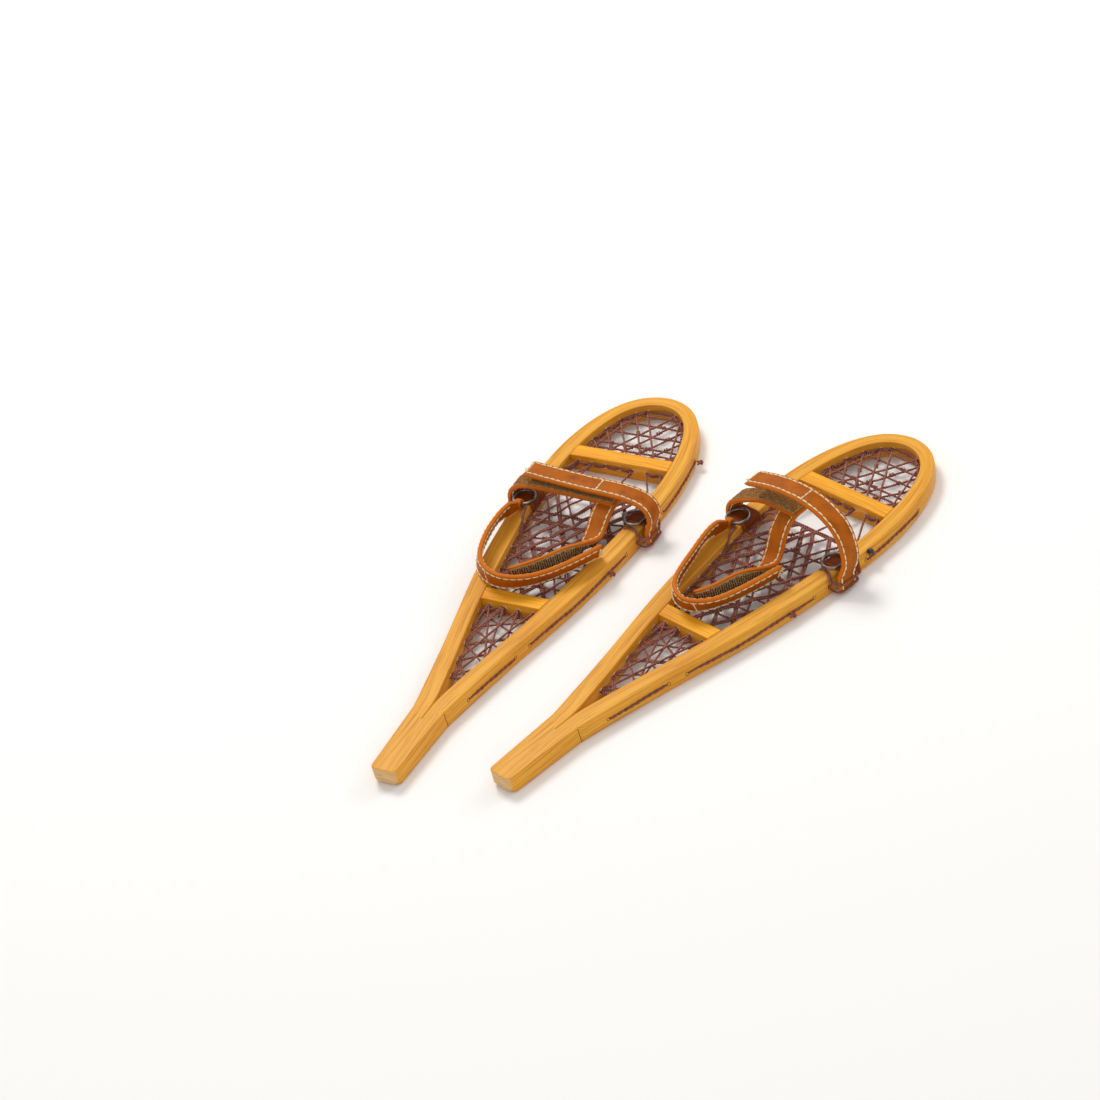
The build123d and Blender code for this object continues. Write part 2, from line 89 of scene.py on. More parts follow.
# --- Mesh making -------------------------------------------------------------------------
class Mesh:
    """Collects vertices, faces, UVs (metres) and material indices for one object."""

    def __init__(self):
        self.verts, self.faces, self.uvs, self.mats = [], [], [], []
        self.count = 0

    def add(self, verts, faces, uvs=None, mat=0):
        """mat is one index for every face, or a list with each face's own."""
        verts = np.asarray(verts, float).reshape(-1, 3)
        self.verts.append(verts)
        for index, face in enumerate(faces):
            self.faces.append([self.count + v for v in face])
            self.uvs += uvs[index] if uvs is not None else [(0.0, 0.0)] * len(face)
            self.mats.append(mat[index] if isinstance(mat, list) else mat)
        self.count += len(verts)

    def build(self, shoe, name, body, slot, materials, replaces, sharp=40.0):
        """Make the object. Names are given without their shoe; a piece that blends has no body."""
        name = f"{shoe}_{name}"
        replaces = [f"{shoe}_{node}" for node in replaces]
        mesh = bpy.data.meshes.new(name)
        matrix = np.array(PLACE[shoe])
        verts = np.concatenate(self.verts) * MM @ matrix[:3, :3].T + matrix[:3, 3]
        mesh.from_pydata([tuple(v) for v in verts], [], self.faces)
        mesh.uv_layers.new(name="UVMap").data.foreach_set("uv", np.array(self.uvs, np.float32).ravel())
        mesh.polygons.foreach_set("material_index", np.array(self.mats, np.int32))
        mesh.polygons.foreach_set("use_smooth", np.ones(len(self.faces), bool))
        for material in materials:
            mesh.materials.append(material)
        mesh.update()
        mesh.validate()
        mesh.set_sharp_from_angle(angle=math.radians(sharp))
        obj = bpy.data.objects.new(name, mesh)
        bpy.context.scene.collection.objects.link(obj)
        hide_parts(*replaces)
        if body:
            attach(obj, f"{shoe}_{body}")
        return obj


def lengths(points):
    """How far along a line each of its points lies."""
    return np.concatenate([[0], np.cumsum(np.linalg.norm(np.diff(points, axis=0), axis=1))])


def sample(columns, known_at, at):
    return np.stack([np.interp(at, known_at, column) for column in np.transpose(columns)], -1)


def circle(count):
    return np.linspace(0, 2 * math.pi, count, endpoint=False)


def spline(points, samples):
    """Smooth curve through points: a natural cubic in chord length."""
    p = np.asarray(points, float)
    t = lengths(p[:, :3])
    n = len(p)
    h = np.diff(t)
    a = np.zeros((n, n))
    b = np.zeros((n, p.shape[1]))
    a[0, 0] = a[-1, -1] = 1
    for i in range(1, n - 1):
        a[i, i - 1] = h[i - 1]
        a[i, i] = 2 * (h[i - 1] + h[i])
        a[i, i + 1] = h[i]
        b[i] = 3 * ((p[i + 1] - p[i]) / h[i] - (p[i] - p[i - 1]) / h[i - 1])
    c = np.linalg.solve(a, b)
    s = np.linspace(0, t[-1], samples)
    k = np.clip(np.searchsorted(t, s, side="right") - 1, 0, n - 2)
    d = (s - t[k])[:, None]
    hk = h[k][:, None]
    slope = (p[k + 1] - p[k]) / hk - hk * (2 * c[k] + c[k + 1]) / 3
    return p[k] + slope * d + c[k] * d ** 2 + (c[k + 1] - c[k]) / (3 * hk) * d ** 3


def even(points, step):
    """The same line, resampled at even steps."""
    t = lengths(points)
    return sample(points, t, np.linspace(0, t[-1], max(int(t[-1] / step), 2) + 1))


def unit(v):
    return v / np.maximum(np.linalg.norm(v, axis=-1, keepdims=True), 1e-9)


def tangents(p):
    return unit(np.gradient(p, axis=0))


def grid_faces(rows, columns):
    """Faces between rings of points that each close on themselves."""
    faces = []
    for i in range(rows - 1):
        for j in range(columns):
            k = (j + 1) % columns
            faces.append((i * columns + j, i * columns + k, (i + 1) * columns + k, (i + 1) * columns + j))
    return faces


def solid_faces(rows, columns):
    """The same, with the first and the last ring filled."""
    ends = [tuple(range(columns))[::-1], tuple(range((rows - 1) * columns, rows * columns))]
    return grid_faces(rows, columns) + ends


def grid_uvs(u, v):
    return [[(u[i], v[j]), (u[i], v[j + 1]), (u[i + 1], v[j + 1]), (u[i + 1], v[j])]
            for i in range(len(u) - 1) for j in range(len(v) - 1)]


def tube(mesh, points, radius, sides=8, mat=0, lobes=0):
    """A closed tube along points. With lobes, it looks like plies twisted together."""
    p = np.asarray(points, float)
    t = tangents(p)
    n = np.zeros_like(p)
    start = np.array([0, 0, 1.0]) if abs(t[0][2]) < 0.9 else np.array([1.0, 0, 0])
    n[0] = unit(start - t[0] * start.dot(t[0]))
    for i in range(1, len(p)):
        m = n[i - 1] - t[i] * n[i - 1].dot(t[i])
        n[i] = m / max(np.linalg.norm(m), 1e-9)
    b = np.cross(t, n)
    length = lengths(p)
    angle = circle(sides)
    radii = np.broadcast_to(np.asarray(radius, float), (len(p),))
    shape = 0.80 + 0.20 * np.cos(lobes * angle) if lobes else np.ones(sides)
    twist = 2 * math.pi * length / PLY_PITCH if lobes else np.zeros(len(p))
    around = angle[None, :] + twist[:, None]
    ring = np.cos(around)[..., None] * n[:, None] + np.sin(around)[..., None] * b[:, None]
    verts = p[:, None] + ring * (radii[:, None] * shape[None])[..., None]
    u = length * MM
    uvs = grid_uvs(u, np.arange(sides + 1) / sides) + [[(0.0, 0.5)] * sides, [(u[-1], 0.5)] * sides]
    mesh.add(verts, solid_faces(len(p), sides), uvs, mat)


def cord(mesh, points, radius=TWINE_RADIUS, wave=0.12):
    """Laid twine: three plies twisted together, slightly uneven."""
    p = np.asarray(points, float)
    length = float(np.linalg.norm(np.diff(p, axis=0), axis=1).sum())
    if len(p) > 2:
        p = spline(p, max(int(length / 1.5), 8))
    p = even(p, 0.5)
    s = np.linspace(0, length, len(p))
    phase = rng.random(3) * 6.28
    fade = np.minimum(1, np.minimum(s, s[::-1]) / 3.0)[:, None]
    p = p + wave * fade * np.sin(s[:, None] / (3.1, 2.7, 3.7) + phase)
    swell = radius * (1 + 0.06 * np.sin(s / 1.9 + phase[0]) + 0.04 * np.sin(s / 0.8 + phase[1]))
    tube(mesh, p, swell, sides=9, lobes=3)


# --- Materials ---------------------------------------------------------------------------
def linear(rgb):
    return tuple(((c / 255) / 12.92 if c / 255 <= 0.04045 else ((c / 255 + 0.055) / 1.055) ** 2.4)
                 for c in rgb) + (1.0,)


class Nodes:
    """Small helper around a material's node tree."""

    def __init__(self, name):
        self.material = bpy.data.materials.new(name)
        self.material.use_nodes = True
        self.tree = self.material.node_tree
        self.shader = self.tree.nodes["Principled BSDF"]

    def feed(self, node, key, value):
        if isinstance(value, bpy.types.NodeSocket):
            self.tree.links.new(value, node.inputs[key])
        else:
            node.inputs[key].default_value = value

    def node(self, kind, inputs, **values):
        n = self.tree.nodes.new(kind)
        for key, value in values.items():
            setattr(n, key, value)
        for key, value in inputs.items():
            self.feed(n, key, value)
        return n

    def set(self, key, value):
        self.feed(self.shader, key, value)

    def surface(self, colour, roughness, specular=0.5):
        self.set("Base Color", colour)
        self.set("Roughness", roughness)
        self.set("Specular IOR Level", specular)

    def place(self, kind, scale):
        c = self.node("ShaderNodeTexCoord", {})
        return self.node("ShaderNodeMapping", {"Vector": c.outputs[kind], "Scale": scale}).outputs[0]

    def uv(self, *scale):
        return self.place("UV", scale)

    def local(self):
        return self.place("Object", (1, 1, 1))

    def across(self):
        """The UV's second axis."""
        return self.node("ShaderNodeSeparateXYZ", {"Vector": self.uv(1, 1, 1)}).outputs[1]

    def noise(self, vector, scale, detail=4.0, rough=0.55, distortion=0.0):
        return self.node("ShaderNodeTexNoise", {"Vector": vector, "Scale": scale, "Detail": detail,
                                                "Roughness": rough, "Distortion": distortion}).outputs[0]

    def ramp(self, fac, *stops):
        n = self.node("ShaderNodeValToRGB", {"Fac": fac})
        ramp = n.color_ramp
        while len(ramp.elements) < len(stops):
            ramp.elements.new(0.5)
        for element, (at, colour) in zip(ramp.elements, stops):
            element.position = at
            element.color = linear(colour)
        return n.outputs[0]

    def grey(self, fac, low, high, v0, v1):
        return self.node("ShaderNodeMapRange", {"Value": fac, "From Min": low, "From Max": high,
                                                "To Min": v0, "To Max": v1}).outputs[0]

    def mix(self, fac, a, b, blend="MIX"):
        return self.node("ShaderNodeMix", {0: fac, 6: a, 7: b}, data_type="RGBA", blend_type=blend).outputs[2]

    def math(self, operation, a, b=0.5):
        return self.node("ShaderNodeMath", {0: a, 1: b}, operation=operation).outputs[0]

    def bump(self, height, strength, distance):
        inputs = {"Height": height, "Strength": strength, "Distance": distance}
        self.set("Normal", self.node("ShaderNodeBump", inputs).outputs[0])


def wood(name, light, mid, dark, streak):
    """Varnished wood; the UV's first axis runs along the grain."""
    m = Nodes(name)
    wide = m.noise(m.uv(9, 170, 1), 1.0, 3.0, 0.5, 0.4)
    fine = m.noise(m.uv(22, 900, 1), 1.0, 5.0, 0.65, 0.2)
    hair = m.noise(m.uv(60, 3200, 1), 1.0, 2.0, 0.5)
    patch = m.noise(m.uv(12, 20, 1), 1.0, 2.0)
    base = m.ramp(wide, (0.28, dark), (0.46, mid), (0.72, light))
    lines = m.ramp(fine, (0.36, streak), (0.52, (255, 255, 255)), (1.0, (255, 255, 255)))
    colour = m.mix(0.55, base, lines, "MULTIPLY")
    colour = m.mix(m.grey(hair, 0.35, 0.7, 0.0, 0.16), colour, linear(streak))
    colour = m.mix(m.grey(patch, 0.35, 0.75, 0.0, 0.30), colour, linear(light))
    m.surface(colour, m.grey(fine, 0.3, 0.7, 0.46, 0.34), 0.16)
    m.set("Coat Weight", 0.03)
    m.set("Coat Roughness", 0.22)
    m.bump(fine, 0.22, 0.00012)
    return m.material


def leather(name, face, deep, edge):
    """Smooth strap leather: pores and creases on the face, burnished brighter at the edges."""
    m = Nodes(name)
    coord = m.local()
    cells = m.node("ShaderNodeTexVoronoi", {"Vector": coord, "Scale": 1500.0}, feature="SMOOTH_F1")
    pores = m.noise(coord, 2600.0, 3.0)
    cloud = m.noise(coord, 130.0, 4.0, 0.6)
    rub = m.noise(m.uv(120, 600, 1), 1.0, 4.0)
    worn = tuple(min(255, int(c * 1.1)) for c in face)
    colour = m.ramp(cloud, (0.25, deep), (0.5, face), (0.8, worn))
    colour = m.mix(m.grey(rub, 0.45, 0.8, 0.0, 0.25), colour, linear(edge))
    rim = m.grey(m.math("ABSOLUTE", m.across()), 0.0052, 0.0062, 0.0, 0.9)
    colour = m.mix(rim, colour, linear(edge))
    colour = m.mix(m.grey(pores, 0.30, 0.45, 0.35, 0.0), colour, linear(deep))
    m.surface(colour, m.grey(cloud, 0.3, 0.7, 0.46, 0.60), 0.10)
    m.bump(m.math("ADD", m.math("MULTIPLY", cells.outputs["Distance"], 0.6), pores), 0.28, 0.0001)
    return m.material


def twine_material():
    """Waxed brown twine, with a painted highlight along the crest of each ply and painted shade between the
    plies.
    """
    m = Nodes("twine")
    ply = m.math("ABSOLUTE", m.math("SINE", m.math("MULTIPLY", m.across(), 3 * math.pi), 0.0))
    fibre = m.noise(m.uv(1400, 14, 1), 1.0, 4.0, 0.7)
    cloud = m.noise(m.local(), 260.0, 3.0)
    colour = m.ramp(cloud, (0.3, (138, 70, 54)), (0.55, (162, 92, 74)), (0.8, (188, 118, 100)))
    colour = m.mix(m.grey(fibre, 0.45, 0.75, 0.0, 0.4), colour, linear((204, 150, 132)))
    # painted highlight: the crest of each ply is pulled towards a pale colour
    colour = m.mix(m.grey(ply, 0.0, 0.5, 0.75, 0.0), colour, linear((212, 154, 136)))
    # painted shade: the grooves between the plies are pulled towards a dark colour
    colour = m.mix(m.grey(ply, 0.5, 0.95, 0.0, 0.85), colour, linear((58, 22, 14)))
    m.surface(colour, 0.62, 0.2)
    m.bump(fibre, 0.5, 0.0001)
    return m.material


def thread_material():
    m = Nodes("waxed_thread")
    twist = m.noise(m.uv(2600, 6, 1), 1.0, 2.0)
    colour = m.ramp(m.noise(m.local(), 300.0, 2.0), (0.3, (230, 200, 146)), (0.7, (250, 232, 192)))
    m.surface(m.mix(m.grey(twist, 0.35, 0.6, 0.45, 0.0), colour, linear((168, 126, 74))), 0.55)
    m.bump(twist, 0.4, 0.00008)
    return m.material


def steel_material():
    m = Nodes("ring_steel")
    brushed = m.noise(m.uv(300, 60, 1), 1.0, 4.0)
    blotch = m.noise(m.local(), 500.0, 3.0)
    colour = m.ramp(blotch, (0.3, (96, 90, 84)), (0.6, (142, 138, 132)), (0.8, (168, 164, 158)))
    m.surface(colour, m.grey(brushed, 0.3, 0.7, 0.30, 0.48))
    m.set("Metallic", 1.0)
    m.bump(blotch, 0.15, 0.00005)
    return m.material


def fibre_material(name, low, high, roughness=0.8, specular=0.1):
    m = Nodes(name)
    m.surface(m.ramp(m.noise(m.local(), 900.0, 3.0), (0.3, low), (0.7, high)), roughness, specular)
    m.bump(m.noise(m.local(), 5000.0, 2.0), 0.4, 0.0001)
    return m.material


FRAME_WOOD = wood("frame_wood", (236, 177, 70), (227, 160, 50), (211, 142, 38), (182, 113, 26))
BAR_WOOD = wood("bar_wood", (246, 178, 47), (240, 166, 36), (224, 144, 26), (190, 115, 20))
END_GRAIN = wood("end_grain", (228, 190, 136), (222, 180, 124), (210, 164, 106), (190, 144, 88))
LEATHER = leather("tan_leather", (168, 88, 10), (138, 66, 6), (204, 108, 18))
DARK_LEATHER = leather("keeper_leather", (112, 50, 12), (78, 30, 8), (146, 70, 20))
TWINE = twine_material()
THREAD = thread_material()
STEEL = steel_material()
TAPE_BASE = fibre_material("tape_base", (152, 108, 60), (196, 150, 92))
TAPE_DARK = fibre_material("tape_dark", (26, 18, 12), (58, 42, 30))
TAPE_PALE = fibre_material("tape_pale", (176, 146, 102), (214, 188, 144))
TAPE_BROWN = fibre_material("tape_brown", (118, 78, 44), (168, 122, 74))
HOOK_TAPE = [TAPE_BASE, TAPE_DARK, TAPE_PALE]
# painted shade inside the lacing holes, and also the real dark line of the handle's splice
HOLE_SHADE_AND_SEAM = fibre_material("hole_shade_and_seam", (40, 20, 12), (74, 40, 20))
HOLE_RAW = fibre_material("hole_raw", (222, 196, 150), (240, 220, 178))
MELTED = fibre_material("melted_twine", (22, 16, 15), (54, 38, 34), 0.28, 0.5)


# --- Frame outline -----------------------------------------------------------------------
OUTER = [(9.9, 50), (21.3, 105), (33.4, 157), (41, 209), (43, 247), (36.3, 297), (16.6, 325.2), (0, 330)]
INNER = [(0, 56), (9.1, 97), (16.8, 129), (24.6, 172), (31.4, 217), (33.1, 245), (28.2, 292),
         (12.6, 318.6), (0, 322.5)]
REAR_BAR_Y, FRONT_BAR_Y, BAR_WIDTH = 140.2, 268.0, 9.2
FRONT_BAR_HOLES = [-27.0, -18.0, -9.0, 0.0, 9.0, 18.0, 27.0]
REAR_BAR_HOLES = [-14.2, -4.7, 4.7, 14.2]


def mirrored_line(points, samples):
    """Half outline continued past the toe by its mirror image, so the apex stays smooth."""
    return spline(points + [(-x, y) for x, y in points[-2::-1]], samples)


outer_line = mirrored_line(OUTER, 1601)
inner_line = mirrored_line(INNER, 1601)


def line_at_y(line, y):
    half = line[: len(line) // 2 + 1]
    return sample(half, half[:, 1], y)


def inner_x(y):
    return line_at_y(inner_line, y)[0]


def wall_point(y, side, out, z=WEB_Z, inside=True):
    """A point beside a rail's inner or outer wall, 'out' millimetres away from the wood."""
    line = inner_line if inside else outer_line
    p = line_at_y(line, y)
    q = line_at_y(line, y + 0.5)
    t = unit(q - p)
    normal = np.array([t[1], -t[0]]) * (-1 if inside else 1)
    p = p + normal * out
    return (side * p[0], p[1], z)


# --- Wooden parts ------------------------------------------------------------------------
def section_ring(w, low, bevel):
    """Rail section as (across, z): from the inner wall over the top, down the outer wall and back."""
    ib, it, h = 0.5, 0.45, RAIL_HEIGHT
    return [
        (0.0, ib), (0.0, ib + 0.4), (0.0, 3.5), (0.0, 8.5), (0.0, h - it - 0.3), (0.0, h - it),
        (it * 0.35, h - it * 0.35), (it, h), (it + 0.35, h), (w * 0.5, h + 0.03), (w - bevel - 0.4, h),
        (w - bevel, h), (w - bevel * 0.3, h - bevel * 0.3), (w, h - bevel), (w, h - bevel - 0.4),
        (w + 0.02, 6.5), (w, low + 0.5), (w, low), (w - low * 0.12, low * 0.5),
        (w - low * 0.4, low * 0.15), (w - low, 0.0), (w - low - 0.4, 0.0), (ib + 0.4, 0.0), (ib, 0.0),
        (ib * 0.3, ib * 0.3),
    ]


def make_bow():
    """The bent strip: a section every so often along the outer line, facing across the strip."""
    count = 321
    end = [(0.12, y) for y in (42.0, 46.0, 50.5, 55.0)]
    inner = np.concatenate([end, inner_line[14:-14], [(-x, y) for x, y in end[::-1]]])
    travelled = lengths(outer_line)
    outer = sample(outer_line, travelled / travelled[-1], np.linspace(0, 1, count))
    # each outer point is paired with the inner point straight across from it
    travelled = lengths(inner)
    share = travelled / travelled[-1]
    chosen = []
    for k, p in enumerate(outer):
        guess = k / (count - 1)
        t = unit(outer[min(k + 1, count - 1)] - outer[max(k - 1, 0)])
        window = (share > guess - 0.06) & (share < guess + 0.06)
        aside = np.abs((inner[window] - p) @ t)
        nearest = np.argmin(aside) + np.argmax(window)
        chosen.append(max(nearest, chosen[-1] if chosen else 0))
    matched = inner[chosen]
    matched[0], matched[-1] = end[0], (-end[0][0], end[0][1])
    for _ in range(3):
        matched[1:-1] = (matched[:-2] + 2 * matched[1:-1] + matched[2:]) / 4
    rows = []
    perimeters = []
    for p, q in zip(outer, matched):
        width = np.linalg.norm(p - q)
        across = (p - q) / width
        toe = max(0.0, (p[1] - 255.0) / 75.0)
        ring = np.array(section_ring(width, 1.5 + 2.4 * toe, 0.7))
        rows.append(np.column_stack([q + across * ring[:, :1], ring[:, 1]]))
        perimeters.append(lengths(np.vstack([ring, ring[:1]])) * MM)
    columns = len(rows[0])
    along = lengths(outer) * MM
    uvs = []
    for i in range(count - 1):
        u0, u1, a, b = along[i], along[i + 1], perimeters[i], perimeters[i + 1]
        # past the left keeper the grain is measured from the left end, so it runs on into the handle
        if i > count // 2 and outer[i][1] < 227.0:
            u0, u1 = along[-1] - u0, along[-1] - u1
            a, b = 2 * RAIL_HEIGHT * MM - a, 2 * RAIL_HEIGHT * MM - b
        uvs += [[(u1, b[j]), (u1, b[j + 1]), (u0, a[j + 1]), (u0, a[j])] for j in range(columns)]
    uvs += [[(0.0, 0.0)] * columns] * 2
    mesh = Mesh()
    mesh.add(rows, [f[::-1] for f in solid_faces(count, columns)], uvs)
    return mesh


def prism(outline, rounding, joint=None):
    """An upright block with eased edges. joint gives the points whose edges stay flush."""
    p = np.array(outline, float)
    n = len(p)
    before, after = np.roll(p, 1, axis=0), np.roll(p, -1, axis=0)
    e1, e2 = unit(p - before), unit(after - p)
    n1 = np.stack([e1[:, 1], -e1[:, 0]], 1)
    n2 = np.stack([e2[:, 1], -e2[:, 0]], 1)
    miter = (n1 + n2) / np.maximum(1 + np.sum(n1 * n2, 1), 0.25)[:, None]
    for index, vector in (joint or {}).items():
        miter[index] = vector
    low, high = rounding
    h = RAIL_HEIGHT
    levels = [(0, low + 0.4), (0, low), (low * 0.3, low * 0.3), (low, 0.0), (low + 0.4, 0.0),
              (2.2, 0.0), (3.2, 0.0), (h * 0.5, 0.0), (h - high - 0.4, 0.0), (h - high, 0.0),
              (h - high * 0.3, high * 0.3), (h, high), (h, high + 0.4)]
    verts = np.concatenate([np.column_stack([p - miter * inset, np.full(n, z)]) for z, inset in levels])
    return verts, solid_faces(len(levels), n)


def make_handle():
    """The solid tail. Its far end is cut to a wide V, which the bow's two ends meet."""
    corner = [(2.6 * math.cos(a) - 5.5, 2.6 + 2.6 * math.sin(a))
              for a in np.linspace(math.pi, 1.5 * math.pi, 7)]
    sides = [(8.1 + 1.8 * y / 50.0, y) for y in (3.6, 6.0, 12.0, 20.0, 30.0, 40.0, 49.99)]
    half = [(x, 0.0) for x in (-3.0, 0.0, 3.0)] + [(-x, y) for x, y in corner[::-1]] + sides
    outline = corner + half + [(0.0, 41.99)] + [(-x, y) for x, y in sides[::-1]]
    at = len(corner) + len(half)
    verts, faces = prism(outline, (1.4, 0.7), {at - 1: (1, 0), at: (0, 0), at + 1: (-1, 0)})
    # the tail end is worn round: push the corners of its lower edge onto a rounded shape
    reach = 3.4
    for v in verts:
        inside = np.maximum(0.0, [abs(v[0]) - (8.0 - reach), reach - v[1], reach - v[2]])
        away = np.linalg.norm(inside / reach)
        if away > 1 and inside[1] > 0:
            worn = inside / away
            if inside[0] > 0:
                v[0] = math.copysign(min(abs(v[0]), 8.0 - reach + worn[0]), v[0])
            v[1] = reach - worn[1]
            if inside[2] > 0:
                v[2] = reach - worn[2]
    uvs = []
    mats = []
    for face in faces:
        pts = verts[list(face)]
        normal = np.abs(unit(np.cross(pts[1] - pts[0], pts[2] - pts[1])))
        side = pts.mean(0)[0]
        end = pts.mean(0)[1] < 1.6 and normal[1] > 0.6
        mats.append(1 if end else 0)
        if end:
            uvs.append([(x * MM * 5, z * MM * 1.4) for x, y, z in pts])
            continue
        flat = normal[2] > 0.7
        uvs.append([((y - 50.0) * MM, (RAIL_HEIGHT + x + (
            0.0 if flat and z > 5 else math.copysign(RAIL_HEIGHT - z, side))) * MM) for x, y, z in pts])
    mesh = Mesh()
    mesh.add(verts, faces, uvs, mats)
    # the dark line where the splice shows on each side
    for side in (-1, 1):
        x = side * 9.93
        line = [(x - side * 0.3, 49.8, 0.9), (x, 49.85, 0.9), (x, 50.15, 0.9), (x - side * 0.3, 50.2, 0.9)]
        verts = line + [(a, b - 0.5, 10.2) for a, b, c in line]
        mesh.add(verts, [f[::side] for f in solid_faces(2, 4)], None, 2)
    return mesh


def make_bar(near_y):
    mesh = Mesh()
    ys = np.linspace(near_y, near_y + BAR_WIDTH, 5)
    gap = 0.22
    outline = [(-inner_x(y) + gap, y) for y in ys[::-1]]
    near = [(x, near_y) for x in np.linspace(-inner_x(near_y) + gap, inner_x(near_y) - gap, 25)[1:]]
    far = [(x, near_y + BAR_WIDTH)
           for x in np.linspace(inner_x(ys[-1]) - gap, -inner_x(ys[-1]) + gap, 25)[:-1]]
    outline = outline + near + [(inner_x(y) - gap, y) for y in ys[1:]] + far[1:]
    verts, faces = prism(outline, (0.5, 0.5))
    uvs = []
    for face in faces:
        pts = verts[list(face)]
        flat = abs(unit(np.cross(pts[1] - pts[0], pts[2] - pts[1]))[2]) > 0.7
        uvs.append([(q[0] * MM, (q[1] if flat else q[2] + 30.0) * MM) for q in pts])
    mesh.add(verts, faces, uvs)
    return mesh


def hole_rims(mesh, centre, axis, mat_raw=2, small=False):
    """The mouth of a lacing hole: a bore painted dark as shade, with a slightly chipped, paler rim."""
    axis = unit(np.array(axis, float))
    side = unit(np.cross(axis, (0, 0, 1.0)))
    up = np.cross(side, axis)
    count = 14
    a = circle(count)[:, None]
    chip = (1.12 if small else 1.3) + 0.3 * rng.random((count, 1))
    rings = [np.array(centre) + (np.cos(a) * side + np.sin(a) * up) * radius + axis * rise
             for radius, rise in ((chip, 0.0), (chip * 0.93, 0.10), (1.02, 0.12), (0.9, -0.5))]
    faces = grid_faces(4, count) + [tuple(range(3 * count, 4 * count)), tuple(range(count))[::-1]]
    # the bore's faces take material 1, the painted shade of the hole; the rim takes mat_raw
    mesh.add(rings, faces, None, [mat_raw] * (2 * count) + [1] * (count + 1) + [mat_raw])


RUN_Z = 5.2
WEAVE_CENTRE = np.array([0.0, 185.0])
TAIL_HOLES = [81.5, 94.5, 108.0, 121.0, 134.5]
CENTER_HOLES = [157.5, 168.0, 178.5, 189.0, 199.5, 210.0, 220.5, 231.0, 241.5]
CORNER_HOLES = [241.5, 258.0]
TOE_HOLES = [289.0, 299.5, 309.0, 316.8, 320.4]
OUTSIDE_RUNS = [(68.0, 106.0), (117.5, 201.0), (240.0, 287.0)]


def wall_normal(y, side, inside):
    a = np.array(wall_point(y, side, 0.0, inside=inside))
    b = np.array(wall_point(y, side, 1.0, inside=inside))
    return unit(b - a)


def build_wood(shoe):
    materials = [FRAME_WOOD, HOLE_SHADE_AND_SEAM, HOLE_RAW]
    bow = make_bow()
    for side in (-1, 1):
        for y in TAIL_HOLES + CENTER_HOLES[:6] + CORNER_HOLES + TOE_HOLES:
            hole_rims(bow, wall_point(y, side, 0.0), wall_normal(y, side, True))
        for y in sum(OUTSIDE_RUNS, ()):
            # on these outside holes the rim as well as the bore gets the painted hole shade
            hole_rims(bow, wall_point(y, side, 0.0, RUN_Z, False), wall_normal(y, side, False), 1, True)
    bow.build(shoe, "bow_wood", "shoe", "frame_wood", materials, ["bow"], sharp=55)
    make_handle().build(shoe, "handle_wood", "shoe", "frame_wood", [FRAME_WOOD, END_GRAIN, HOLE_SHADE_AND_SEAM],
                        ["handle"], sharp=50)
    materials[0] = BAR_WOOD
    for name, near_y, holes in (("front", FRONT_BAR_Y, FRONT_BAR_HOLES),
                                ("rear", REAR_BAR_Y, REAR_BAR_HOLES)):
        bar = make_bar(near_y)
        for x in holes:
            hole_rims(bar, (x, near_y, WEB_Z + 0.6), (0, -1, 0))
            hole_rims(bar, (x, near_y + BAR_WIDTH, WEB_Z + 0.6), (0, 1, 0))
        bar.build(shoe, f"{name}_bar_wood", "shoe", "bar_wood", materials, [f"{name}_crossbar"], sharp=50)


# --- Lacing ------------------------------------------------------------------------------
def weave(mesh, a, b, level, twice=False):
    """One run across a window; level lifts or lowers its middle so that runs pass each other."""
    a, b = np.array(a, float), np.array(b, float)
    t = np.linspace(0, 1, max(int(np.linalg.norm(b - a) / 6), 3))[:, None]
    p = a + (b - a) * t
    p[:, 2] += level * np.minimum(1, 4 * np.minimum(t[:, 0], 1 - t[:, 0]))
    cord(mesh, p)
    if twice:
        cord(mesh, p + unit(np.cross(b - a, (0, 0, 1.0))) * 1.15 + (0, 0, 0.15))


def along_wall(mesh, ys, side, out, z, dip=0.9):
    """Twine that runs beside an inner wall from hole to hole and dips into each."""
    points = []
    for y0, y1 in zip(ys[:-1], ys[1:]):
        points.append(wall_point(y0, side, -dip, z))
        for t in (0.25, 0.5, 0.75):
            points.append(wall_point(y0 + (y1 - y0) * t, side, out, z + 0.25 * math.sin(y0)))
    cord(mesh, points + [wall_point(ys[-1], side, -dip, z)])


